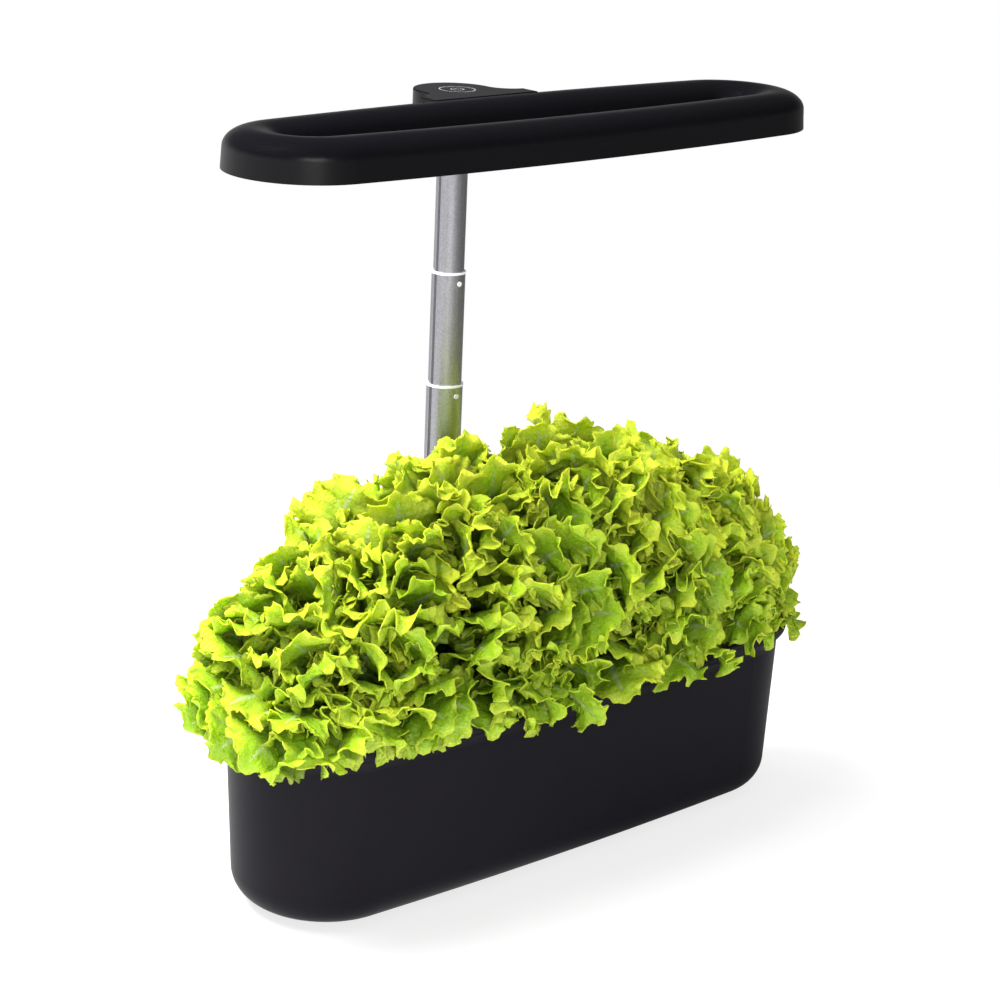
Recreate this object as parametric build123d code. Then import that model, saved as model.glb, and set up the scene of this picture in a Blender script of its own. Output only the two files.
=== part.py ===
from build123d import *
import os
from math import atan2, cos, degrees, hypot, radians, sin

# A countertop hydroponic garden: an oval water tank, a lift-off grow deck with eight
# lettuce pods, a keyed telescopic mast standing in a housing behind the tank, and an
# oval ring lamp that hangs over the plants from a neck at its rear.
# +X is to the right, +Y to the back and +Z up. The origin is on the table, at the
# middle of the whole object's footprint. All sizes are in millimetres.

# ---- water tank ----
FOOT_PROUD = 1.5
TANK_Y = -7.0
TANK_LENGTH = 392.0
TANK_WIDTH = 118.0
TANK_SIDE_BOW = 3.1
TANK_RIM_Z = 96.5
TANK_LEAN = 3.9
TANK_BASE_FILLET = 18.4
TANK_WALL = 2.6
TANK_FLOOR = 3.0
RIB_HEIGHT = 5.0
RIB_THICK = 2.0
RIB_END_INSET = 100.0
FOOT_RADIUS = 9.0
FOOT_RECESS = 1.5
FOOT_END_INSET = 56.0
FOOT_SIDE_INSET = 36.0
TANK_END_X = TANK_LENGTH / 2
TANK_FRONT_Y = TANK_Y - TANK_WIDTH / 2
TANK_REAR_Y = TANK_Y + TANK_WIDTH / 2

# ---- grow deck ----
DECK_THICK = 2.4
DECK_FIT = 0.4
SKIRT_DEPTH = 9.0
SKIRT_THICK = 2.0
LIP_HEIGHT = 16.5
LIP_FLARE = 5.2
LIP_THICK = 2.4
LIP_FOOT = 3.5
LIP_FOOT_OUT = 0.2
LIP_ROLL = 3.3
LIP_MIDDLE_OUT_SHARE = 0.62
LIP_MIDDLE_UP_SHARE = 0.45

# ---- pods ----
POD_COLUMNS = 4
POD_END_INSET = 64.0
POD_SIDE_INSET = 33.0
POD_PITCH_X = (TANK_LENGTH - 2 * POD_END_INSET) / (POD_COLUMNS - 1)
POD_ROW_Y = TANK_WIDTH / 2 - POD_SIDE_INSET
BASKET_TOP_RADIUS = 16.8
BASKET_TAPER = 3.4
BASKET_DEPTH = 46.0
BASKET_WALL = 1.5
BASKET_FLANGE = 3.6
BASKET_FLANGE_THICK = 1.6
BASKET_FIT = 0.4
SLOT_COUNT = 6
SLOT_WIDTH = 5.0
SLOT_HEIGHT = 26.0
FLOOR_HOLE_RADIUS = 5.0
SPONGE_HEIGHT = 32.0
SPONGE_FIT = 0.25
SPONGE_DIMPLE_RADIUS = 9.3
SPONGE_DIMPLE_DEPTH = 4.0
STEM_RADIUS = 9.0

# ---- lettuce heads ----
# The heads grow into one mound, whose peak stands left of the middle. Each power says how
# upright that side of the mound is: 2 is round, and more is steeper with a sharper shoulder.
HEAD_LIFT = 3.0
HEAD_GAP = 4.0
HEAD_SPLIT_PAST_POD = 58.0
HEAD_UNDERSIDE_Z = TANK_RIM_Z + LIP_HEIGHT + HEAD_LIFT
HEAD_STEM_SHARE = 0.25
HEAD_UNDER_SHARE = 0.95
HEAD_FULL_FROM = 0.22
HEAD_DOME_POWER = 12.0
HEAD_PLAN_POWER = 5.0
HEAD_TOP_SHARE = 0.95
HEAD_TOP_STEP = 0.99
HEAD_LEVELS = (0.0, 0.12, 0.25, 0.42, 0.58, 0.71, 0.81, 0.885, 0.94, 0.975, 0.992)
HEAD_RING_POINTS = 20
HEAD_FREE = 22.0
MOUND_TALL = 122.0
MOUND_PEAK_LEFT = 17.0
MOUND_LEFT_PLAN_POWER = 3.3
MOUND_RIGHT_PLAN_POWER = 2.5
MOUND_LEFT_POWER = 2.0
MOUND_RIGHT_POWER = 2.6
MOUND_FRONT_POWER = 3.4
MOUND_REAR_POWER = 2.9
PLANTS_END_OVERHANG = 33.0
PLANTS_FRONT_OVERHANG = 24.0
PLANTS_REAR_INSET = 10.0

# ---- fill port and water gauge, in the two ends of the deck ----
PORT_END_INSET = 25.0
PORT_RADIUS = 12.0
PORT_FIT = 0.3
CAP_FLANGE = 3.0
CAP_THICK = 2.0
CAP_SKIRT = 7.0
CAP_GRIP_LENGTH = 16.0
CAP_GRIP_HEIGHT = 6.0
CAP_GRIP_THICK = 3.0
GAUGE_STEM_RADIUS = 3.0
GAUGE_STEM_FIT = 0.3
GAUGE_RISE = 12.0
GAUGE_KNOB_RADIUS = 4.6
GAUGE_KNOB_HEIGHT = 3.0
FLOAT_RADIUS = 10.0
FLOAT_HEIGHT = 16.0
FLOAT_DROP = 30.0
PORT_X = TANK_END_X - PORT_END_INSET

# ---- mast ----
MAST_BEHIND = 16.2
MAST_Y = TANK_REAR_Y + MAST_BEHIND
MAST_TOP_RADIUS = 9.0
MAST_STEP = 0.85
MAST_WALL = 0.55
MAST_RUN = 0.05
MAST_GLUE = 0.02
GROOVE_CENTRE = 0.7
GROOVE_RADIUS = 1.2
COLLAR_TOP_Z = (193.2, 260.4, 327.6)
COLLAR_FLANGE = 1.2
COLLAR_PROUD = 0.25
COLLAR_DEPTH = 12.0
BUTTON_DROP = 6.4
BUTTON_RADIUS = 1.5
BUTTON_PROUD = 0.45
BUTTON_HOLE_FIT = 0.05
TUBE_OVERLAP = 30.0
GLIDE_HEIGHT = 8.0

# ---- housing behind the tank ----
HOUSING_WIDTH = 72.0
HOUSING_DEPTH = 34.0
HOUSING_RISE = 18.0
HOUSING_WALL = 2.4
HOUSING_CORNER = 20.0
HOUSING_FIT = 0.3
HOUSING_TOP_FILLET = 4.0
HOUSING_NECK_BEHIND = 1.7
FLANGE_THICK = 3.0
FLANGE_INSET = 1.0
SOCKET_WALL = 2.0
SOCKET_DEPTH = 52.5
BOSS_RADIUS = 3.4
BOSS_HEIGHT = 14.0
BOSS_SINK = 1.0
SCREW_RADIUS = 1.5
SCREW_PILOT_FIT = 0.05
SCREW_HEAD_RADIUS = 2.8
SCREW_HEAD_HEIGHT = 1.6
SCREW_LENGTH = 10.0
SCREW_TIP_ROOM = 1.0
INLET_Z = 24.0
INLET_RADIUS = 5.0
INLET_BORE_RADIUS = 3.1
INLET_PIN_RADIUS = 1.0
INLET_LENGTH = 13.0
INLET_FLANGE = 1.5
INLET_FIT = 0.15
BOARD_WIDTH = 34.0
BOARD_HEIGHT = 36.0
BOARD_THICK = 1.6
BOARD_BEHIND = 10.0
BOARD_Z = 14.0
COMPONENT_EDGE = 3.0
TERMINAL_SIZE = (8.0, 6.0, 7.0)
CHIP_SIZE = (7.0, 1.5, 7.0)
CAPACITOR_RADIUS = 3.0
CAPACITOR_LENGTH = 8.0
BOARD_Y = TANK_REAR_Y + BOARD_BEHIND
HOUSING_REAR_Y = TANK_REAR_Y + HOUSING_DEPTH
HOUSING_NECK_Y = TANK_REAR_Y + HOUSING_NECK_BEHIND
HOUSING_TOP_Z = TANK_RIM_Z + HOUSING_RISE
MAST_FOOT_Z = HOUSING_TOP_Z - SOCKET_DEPTH

# ---- pump ----
PUMP_X = 0.0
PUMP_REAR_INSET = 39.0
PUMP_Y = TANK_REAR_Y - PUMP_REAR_INSET
PUMP_LENGTH = 30.0
PUMP_WIDTH = 28.0
PUMP_HEIGHT = 27.0
PUMP_LIFT = 4.0
PUMP_CORNER = 3.0
PUMP_FOOT_RADIUS = 4.0
ROTOR_RADIUS = 6.0
ROTOR_LENGTH = 20.0
ROTOR_RUN = 0.6
BLADE_RADIUS = 9.0
BLADE_WIDTH = 5.0
BLADE_THICK = 1.2
BLADE_COUNT = 4
SHAFT_RADIUS = 1.1
SHAFT_RUN = 0.06
PUMP_COVER_THICK = 9.0
NOZZLE_RADIUS = 4.0
NOZZLE_WALL = 1.4
NOZZLE_LENGTH = 9.0
INTAKE_RADIUS = 4.5
FILTER_THICK = 8.0

# ---- ring lamp ----
RING_AHEAD = 66.6
RING_LENGTH = 400.0
RING_WIDTH = 104.0
RING_SIDE_BOW = 6.5
RING_MEMBER = 33.3
RING_UNDERSIDE_Z = 411.0
RING_HEIGHT = 21.5
RING_DOME = 10.4
RING_LEAN = 0.7
LAMP_WALL = 2.2
NECK_RADIUS = 24.0
NECK_FLARE = 14.0
NECK_MEET_INSET = 0.6
NECK_ROOT_INSET = 13.6
NECK_PROUD = 0.3
NECK_EDGE = 0.8
LAMP_SOCKET_WALL = 2.2
LAMP_SOCKET_DEPTH = 12.0
NECK_WEB = 1.6
NECK_SCREW_ANGLES = (35, 145)
LAMP_SCREW_LENGTH = 8.0
COVER_RECESS = 0.8
COVER_THICK = 1.8
COVER_FIT = 0.25
DIFFUSER_WIDTH = 21.0
DIFFUSER_THICK = 1.8
DIFFUSER_LEDGE = 1.5
BRIDGE_WIDTH = 12.0
LED_BOARD_WIDTH = 20.0
LED_BOARD_THICK = 1.4
LED_BOARD_LIFT = 6.0
LED_COUNT = 56
LED_SIZE = 3.0
LED_HEIGHT = 0.8
TOUCH_BOARD_RADIUS = 12.0
TOUCH_BOARD_THICK = 1.4
TOUCH_FORWARD = 1.9
RING_Y = MAST_Y - RING_AHEAD
RING_REAR_Y = RING_Y + RING_WIDTH / 2
NECK_MEET_Y = RING_REAR_Y - NECK_MEET_INSET
NECK_ROOT_Y = RING_REAR_Y - NECK_ROOT_INSET


# ---- shared forms ----

def oval_wire(length, width, bow):
    """Plan outline of two end arcs joined tangentially by two long arcs, so the sides bow."""
    end_radius = width / 2 - bow
    end_x = length / 2 - end_radius
    side_radius = (end_x**2 + (width / 2) ** 2 - end_radius**2) / (2 * bow)
    side_y = side_radius - width / 2
    spread = hypot(end_x, side_y)
    x = end_x + end_radius * end_x / spread
    y = end_radius * side_y / spread
    return Wire([
        ThreePointArc((-x, -y), (0, -width / 2), (x, -y)).edge(),
        ThreePointArc((x, -y), (length / 2, 0), (x, y)).edge(),
        ThreePointArc((x, y), (0, width / 2), (-x, y)).edge(),
        ThreePointArc((-x, y), (-length / 2, 0), (-x, -y)).edge(),
    ])


def oval(length, width, bow):
    return Face(oval_wire(length, width, bow))


def tub(length, width, bow, rim_z, base_z, lean, base_fillet):
    """An oval block that leans in from its rim to a filleted base."""
    height = rim_z - base_z
    body = extrude(oval(length, width, bow), height, dir=(0, 0, -1), taper=degrees(atan2(lean, height)))
    body = Pos(0, TANK_Y, rim_z) * body
    return fillet(body.edges().group_by(Axis.Z)[0], base_fillet)


def tank_oval(grow, low_z, high_z):
    """A straight oval prism, as far outside the tank's rim outline as grow says."""
    face = oval(TANK_LENGTH + 2 * grow, TANK_WIDTH + 2 * grow, TANK_SIDE_BOW)
    return Pos(0, TANK_Y, low_z) * extrude(face, high_z - low_z)


def rod(radius, low_z, high_z, x=0.0, y=0.0):
    """An upright cylinder between two heights."""
    return Pos(x, y, (low_z + high_z) / 2) * Cylinder(radius, high_z - low_z)


def block(x0, x1, y0, y1, z0, z1):
    """A box between two corners."""
    return Pos((x0 + x1) / 2, (y0 + y1) / 2, (z0 + z1) / 2) * Box(x1 - x0, y1 - y0, z1 - z0)


def tank_floor_z():
    return FOOT_PROUD + TANK_FLOOR


def deck_top_z():
    return TANK_RIM_Z + DECK_THICK


# ---- water tank and its feet ----

def foot_places():
    x = TANK_END_X - FOOT_END_INSET
    return [(a, b) for a in (-x, x) for b in (TANK_FRONT_Y + FOOT_SIDE_INSET, TANK_REAR_Y - FOOT_SIDE_INSET)]


def screw_places():
    """The housing's four screws, in the corners of its footprint."""
    off_wall = HOUSING_WALL + BOSS_RADIUS - BOSS_SINK
    x = HOUSING_WIDTH / 2 - off_wall
    front_y = TANK_REAR_Y + off_wall
    rear_x = HOUSING_WIDTH / 2 - HOUSING_CORNER
    rear_y = HOUSING_REAR_Y - off_wall
    return [(-x, front_y), (x, front_y), (-rear_x, rear_y), (rear_x, rear_y)]


def housing_plan(inset):
    """The housing's footprint, square at the tank and round at the back."""
    half = HOUSING_WIDTH / 2 - inset
    front, rear = TANK_Y, HOUSING_REAR_Y - inset
    plan = Pos(0, (front + rear) / 2) * Rectangle(2 * half, rear - front)
    return fillet(plan.vertices().group_by(Axis.Y)[-1], HOUSING_CORNER - inset)


def water_tank():
    outer = tub(TANK_LENGTH, TANK_WIDTH, TANK_SIDE_BOW, TANK_RIM_Z, FOOT_PROUD, TANK_LEAN, TANK_BASE_FILLET)
    flange = extrude(Pos(0, 0, FOOT_PROUD) * housing_plan(FLANGE_INSET), FLANGE_THICK)
    inner = tub(TANK_LENGTH - 2 * TANK_WALL, TANK_WIDTH - 2 * TANK_WALL, TANK_SIDE_BOW,
                TANK_RIM_Z, tank_floor_z(), TANK_LEAN, TANK_BASE_FILLET - TANK_WALL)
    rib_x = TANK_END_X - RIB_END_INSET
    ribs = [block(x - RIB_THICK / 2, x + RIB_THICK / 2, TANK_FRONT_Y, TANK_REAR_Y,
                  FOOT_PROUD, tank_floor_z() + RIB_HEIGHT) for x in (-rib_x, rib_x)]
    tank = (outer + flange) - inner
    tank += [rib & outer for rib in ribs]
    for x, y in foot_places():
        tank -= rod(FOOT_RADIUS, FOOT_PROUD, FOOT_PROUD + FOOT_RECESS, x, y)
    for x, y in screw_places():
        tank -= rod(SCREW_RADIUS + HOUSING_FIT, FOOT_PROUD, FOOT_PROUD + FLANGE_THICK, x, y)
        tank -= rod(SCREW_HEAD_RADIUS + HOUSING_FIT, FOOT_PROUD, FOOT_PROUD + SCREW_HEAD_HEIGHT, x, y)
    return tank


def rubber_feet():
    return [rod(FOOT_RADIUS, 0, FOOT_PROUD + FOOT_RECESS, x, y) for x, y in foot_places()]


# ---- grow deck, fill port and gauge ----

def pod_places():
    first = -POD_PITCH_X * (POD_COLUMNS - 1) / 2
    columns = [first + POD_PITCH_X * i for i in range(POD_COLUMNS)]
    return [(x, TANK_Y + y) for y in (-POD_ROW_Y, POD_ROW_Y) for x in columns]


def section_plane(path):
    """The plane square to a closed path at its start: its x points out of the oval, its y up."""
    side = (path % 0).cross(Vector(0, 0, 1))
    if side.dot(path @ 0 - path.center()) < 0:
        side = side * -1
    return Plane(origin=path @ 0, x_dir=side, z_dir=side.cross(Vector(0, 0, 1)))


def lip_section(path):
    """The lip's section: it rises from the rim, bulges out and rolls back at the top."""
    bulge_z = LIP_HEIGHT - LIP_ROLL
    middle = (LIP_FLARE * LIP_MIDDLE_OUT_SHARE, LIP_HEIGHT * LIP_MIDDLE_UP_SHARE)
    outer = [(0, 0), (LIP_FOOT_OUT, LIP_FOOT), middle, (LIP_FLARE, bulge_z)]
    inner = [(LIP_FLARE - LIP_THICK, bulge_z), (-LIP_THICK, 0)]
    outline = Spline(*outer, tangents=[(0, 1), (0, 1)])
    outline += ThreePointArc(outer[-1], (LIP_FLARE - LIP_THICK / 2, LIP_HEIGHT), inner[0])
    outline += Polyline(*inner, outer[0])
    return section_plane(path) * make_face(outline)


def grow_deck():
    path = Pos(0, TANK_Y, TANK_RIM_Z) * oval_wire(TANK_LENGTH, TANK_WIDTH, TANK_SIDE_BOW)
    lip = sweep(lip_section(path), path=path)
    plate = tank_oval(-LIP_THICK / 2, TANK_RIM_Z, deck_top_z())
    skirt_out = -TANK_WALL - DECK_FIT
    skirt = tank_oval(skirt_out, TANK_RIM_Z - SKIRT_DEPTH, TANK_RIM_Z)
    skirt -= tank_oval(skirt_out - SKIRT_THICK, TANK_RIM_Z - SKIRT_DEPTH, TANK_RIM_Z)
    deck = lip + plate + skirt
    for x, y in pod_places():
        deck -= rod(BASKET_TOP_RADIUS + BASKET_FIT, TANK_RIM_Z, deck_top_z(), x, y)
    deck -= rod(PORT_RADIUS + PORT_FIT, TANK_RIM_Z, deck_top_z(), PORT_X, TANK_Y)
    deck -= rod(GAUGE_STEM_RADIUS + GAUGE_STEM_FIT, TANK_RIM_Z, deck_top_z(), -PORT_X, TANK_Y)
    half = HOUSING_WIDTH / 2 + HOUSING_FIT
    return deck - block(-half, half, HOUSING_NECK_Y - HOUSING_FIT, HOUSING_REAR_Y, TANK_RIM_Z, HOUSING_TOP_Z)


def fill_cap():
    top = deck_top_z()
    cap = rod(PORT_RADIUS + CAP_FLANGE, top, top + CAP_THICK, PORT_X, TANK_Y)
    cap += rod(PORT_RADIUS, top - CAP_SKIRT, top, PORT_X, TANK_Y)
    cap -= rod(PORT_RADIUS - CAP_THICK, top - CAP_SKIRT, top, PORT_X, TANK_Y)
    grip = block(PORT_X - CAP_GRIP_LENGTH / 2, PORT_X + CAP_GRIP_LENGTH / 2, TANK_Y - CAP_GRIP_THICK / 2,
                 TANK_Y + CAP_GRIP_THICK / 2, top, top + CAP_THICK + CAP_GRIP_HEIGHT)
    return cap + fillet(grip.edges().group_by(Axis.Z)[-1], CAP_GRIP_THICK / 3)


def water_gauge():
    knob_z = deck_top_z() + GAUGE_RISE
    float_top = TANK_RIM_Z - FLOAT_DROP
    gauge = rod(GAUGE_STEM_RADIUS, float_top, knob_z, -PORT_X, TANK_Y)
    knob = rod(GAUGE_KNOB_RADIUS, knob_z, knob_z + GAUGE_KNOB_HEIGHT, -PORT_X, TANK_Y)
    gauge += fillet(knob.edges().group_by(Axis.Z)[-1], GAUGE_KNOB_HEIGHT / 3)
    buoy = rod(FLOAT_RADIUS, float_top - FLOAT_HEIGHT, float_top, -PORT_X, TANK_Y)
    return gauge + fillet(buoy.edges().filter_by(GeomType.CIRCLE), FLOAT_RADIUS / 4)


# ---- pods ----

def basket(x, y):
    """A tapered net basket with slots round its wall and a hole in its floor."""
    top, bottom = deck_top_z(), deck_top_z() - BASKET_DEPTH
    flange = rod(BASKET_TOP_RADIUS + BASKET_FLANGE, top, top + BASKET_FLANGE_THICK)
    cup = Pos(0, 0, (top + bottom) / 2) * Cone(BASKET_TOP_RADIUS - BASKET_TAPER, BASKET_TOP_RADIUS, BASKET_DEPTH)
    bore_depth = BASKET_DEPTH + BASKET_FLANGE_THICK - BASKET_WALL
    bore = Pos(0, 0, top + BASKET_FLANGE_THICK - bore_depth / 2) * Cone(
        BASKET_TOP_RADIUS - BASKET_TAPER - BASKET_WALL, BASKET_TOP_RADIUS - BASKET_WALL, bore_depth)
    net = flange + cup - bore
    slot_z = bottom + BASKET_WALL + SLOT_HEIGHT / 2 + BASKET_WALL
    for i in range(SLOT_COUNT):
        slot = Pos(BASKET_TOP_RADIUS - BASKET_TAPER, 0, slot_z) * Box(3 * BASKET_TAPER, SLOT_WIDTH, SLOT_HEIGHT)
        net -= Rot(0, 0, 360 / SLOT_COUNT * i) * slot
    net -= rod(FLOOR_HOLE_RADIUS, bottom, bottom + BASKET_WALL)
    return Pos(x, y, 0) * net


def basket_bore_radius(z):
    """The basket's inside radius at a height."""
    top = deck_top_z() + BASKET_FLANGE_THICK
    depth = BASKET_DEPTH + BASKET_FLANGE_THICK - BASKET_WALL
    return BASKET_TOP_RADIUS - BASKET_WALL - BASKET_TAPER * (top - z) / depth


def sponge(x, y):
    """The tapered grow sponge, wedged in the basket, with a dimple for the stem."""
    top = deck_top_z()
    low = top - SPONGE_HEIGHT
    plug = Cone(basket_bore_radius(low) - SPONGE_FIT, basket_bore_radius(top) - SPONGE_FIT, SPONGE_HEIGHT)
    dimple = rod(SPONGE_DIMPLE_RADIUS, top - SPONGE_DIMPLE_DEPTH, top)
    return Pos(x, y, 0) * (Pos(0, 0, (top + low) / 2) * plug - dimple)


def mound_share(x, y, z):
    """How far out a point is in the mound of leaves at its height: 1 is the mound's surface."""
    up = min((z - HEAD_UNDERSIDE_Z) / MOUND_TALL, 0.999)
    peak_x = -MOUND_PEAK_LEFT
    if x < peak_x:
        reach_x, power_x = TANK_END_X + PLANTS_END_OVERHANG - MOUND_PEAK_LEFT, MOUND_LEFT_POWER
        plan_power = MOUND_LEFT_PLAN_POWER
    else:
        reach_x, power_x = TANK_END_X + PLANTS_END_OVERHANG + MOUND_PEAK_LEFT, MOUND_RIGHT_POWER
        plan_power = MOUND_RIGHT_PLAN_POWER
    if y < TANK_Y:
        reach_y, power_y = TANK_WIDTH / 2 + PLANTS_FRONT_OVERHANG, MOUND_FRONT_POWER
    else:
        reach_y, power_y = TANK_WIDTH / 2 - PLANTS_REAR_INSET, MOUND_REAR_POWER
    along = abs(x - peak_x) / (reach_x * (1 - up ** power_x) ** 0.5)
    across = abs(y - TANK_Y) / (reach_y * (1 - up ** power_y) ** 0.5)
    return (along ** plan_power + across ** plan_power) ** (1 / plan_power)


def mound_height(x, y):
    """The mound's height over a place in plan."""
    low, high = HEAD_UNDERSIDE_Z, HEAD_UNDERSIDE_Z + MOUND_TALL
    for _ in range(24):
        middle = (low + high) / 2
        low, high = (middle, high) if mound_share(x, y, middle) < 1 else (low, middle)
    return low


def head_cell(x, y):
    """The middle and half sizes of a head's own share of the plant bed, which runs past the mound
    on its free sides."""
    side = 1 if x > 0 else -1
    outer = abs(x) > POD_PITCH_X
    half_gap = HEAD_GAP / 2
    split_x = POD_PITCH_X / 2 + HEAD_SPLIT_PAST_POD
    x_near = split_x + half_gap if outer else half_gap
    x_far = TANK_END_X + PLANTS_END_OVERHANG + HEAD_FREE if outer else split_x - half_gap
    front = y < TANK_Y
    y_near = TANK_FRONT_Y - PLANTS_FRONT_OVERHANG - HEAD_FREE if front else TANK_Y + half_gap
    y_far = TANK_Y - half_gap if front else TANK_REAR_Y - PLANTS_REAR_INSET + HEAD_FREE
    return side * (x_near + x_far) / 2, (y_near + y_far) / 2, (x_far - x_near) / 2, (y_far - y_near) / 2


def lettuce(x, y):
    """A head of loose leaves on a short stem: a domed share of the mound, drawn in below. Each of
    its rings is found by stepping out from the ring's middle until the mound's surface and the
    head's own cell, rounded into each other, are reached."""
    cell_x, cell_y, half_x, half_y = head_cell(x, y)
    spots = [(cell_x + half_x * i / 8, cell_y + half_y * j / 8) for i in range(-5, 6) for j in range(-5, 6)]
    peak = max(spots, key=lambda spot: mound_height(*spot))
    tall = mound_height(*peak) - HEAD_UNDERSIDE_Z

    def share(px, py, up):
        dome = (1 - up ** HEAD_DOME_POWER) ** 0.5
        full = min(1.0, HEAD_UNDER_SHARE + (1 - HEAD_UNDER_SHARE) * up / HEAD_FULL_FROM)
        mound = mound_share(px, py, HEAD_UNDERSIDE_Z + tall * up)
        along = abs(px - cell_x - (peak[0] - cell_x) * (1 - dome)) / (half_x * dome)
        across = abs(py - cell_y - (peak[1] - cell_y) * (1 - dome)) / (half_y * dome)
        cell = (along ** HEAD_PLAN_POWER + across ** HEAD_PLAN_POWER) ** (1 / HEAD_PLAN_POWER)
        return (mound ** HEAD_PLAN_POWER + cell ** HEAD_PLAN_POWER) ** (1 / HEAD_PLAN_POWER) / full

    def step_out(start, direction, up):
        near, far = 0.0, 2 * max(half_x, half_y)
        for _ in range(30):
            middle = (near + far) / 2
            inside = share(start[0] + direction[0] * middle, start[1] + direction[1] * middle, up) < 1
            near, far = (middle, far) if inside else (near, middle)
        return start[0] + direction[0] * near, start[1] + direction[1] * near

    while min(share(*spot, HEAD_LEVELS[-1]) for spot in spots) > HEAD_TOP_SHARE:
        tall *= HEAD_TOP_STEP
    rings = []
    for up in HEAD_LEVELS:
        middle = min(spots, key=lambda spot: share(*spot, up))
        for _ in range(3):
            left, right = (step_out(middle, (turn, 0), up)[0] for turn in (-1, 1))
            middle = ((left + right) / 2, middle[1])
            near, far = (step_out(middle, (0, turn), up)[1] for turn in (-1, 1))
            middle = (middle[0], (near + far) / 2)
        points = []
        for i in range(HEAD_RING_POINTS):
            angle = radians(360 * i / HEAD_RING_POINTS)
            aim = ((right - left) * cos(angle), (far - near) * sin(angle))
            length = hypot(*aim)
            px, py = step_out(middle, (aim[0] / length, aim[1] / length), up)
            points.append((px, py, HEAD_UNDERSIDE_Z + tall * up))
        rings.append(make_face(Spline(*points, periodic=True)))
    stem_low = deck_top_z() - SPONGE_DIMPLE_DEPTH
    return loft(rings, ruled=True) + rod(STEM_RADIUS, stem_low, HEAD_UNDERSIDE_Z + tall * HEAD_STEM_SHARE, x, y)


# ---- mast ----

def keyed_disc(radius, shrink=0.0):
    """A tube's section with the long key groove in its left side, shrunk all round by shrink."""
    groove = Pos(-(radius + GROOVE_CENTRE), 0) * Circle(GROOVE_RADIUS + shrink)
    return Circle(radius - shrink) - groove


def keyed_rod(radius, low_z, high_z, shrink=0.0):
    return Pos(0, MAST_Y, low_z) * extrude(keyed_disc(radius, shrink), high_z - low_z)


def tube_radius(step):
    """Step 0 is the lamp's thin tube and each step down the mast is one size larger."""
    return MAST_TOP_RADIUS + MAST_STEP * step


def button(step, z, length, grow=0.0):
    """The snap button's round shank, which points to the front."""
    reach = tube_radius(step)
    shank = Pos(0, MAST_Y - reach + length / 2 - BUTTON_PROUD, z) * Rot(90, 0, 0)
    return shank * Cylinder(BUTTON_RADIUS + grow, length)


def mast_tube(step, low_z, collar_z):
    """One drawn tube. collar_z is the top of its collar, or of the tube where it has none."""
    radius = tube_radius(step)
    has_collar = step > 0
    high_z = collar_z - COLLAR_FLANGE if has_collar else collar_z
    tube = keyed_rod(radius, low_z, high_z) - keyed_rod(radius, low_z, high_z, MAST_WALL)
    if has_collar:
        tube -= button(step, collar_z - BUTTON_DROP, 3 * MAST_WALL + BUTTON_PROUD, BUTTON_HOLE_FIT)
    return tube


def mast_collar(step, collar_z):
    """The white bush in a tube's top end, keyed to the next tube, with its snap button."""
    radius, next_radius = tube_radius(step), tube_radius(step - 1)
    seat_z = collar_z - COLLAR_FLANGE
    bush = keyed_rod(radius, seat_z, collar_z, -COLLAR_PROUD)
    bush += keyed_rod(radius, collar_z - COLLAR_DEPTH, seat_z, MAST_WALL + MAST_GLUE)
    bush += button(step, collar_z - BUTTON_DROP, MAST_WALL + BUTTON_PROUD + MAST_RUN)
    return bush - keyed_rod(next_radius, collar_z - COLLAR_DEPTH, collar_z, -MAST_RUN)


def mast_glide(step, low_z):
    """The slip ring on a tube's lower end, which runs in the bore of the next tube down."""
    outer = keyed_rod(tube_radius(step + 1), low_z, low_z + GLIDE_HEIGHT, MAST_WALL + MAST_RUN)
    return outer - keyed_rod(tube_radius(step), low_z, low_z + GLIDE_HEIGHT, -MAST_GLUE)


# ---- housing behind the tank ----

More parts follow.
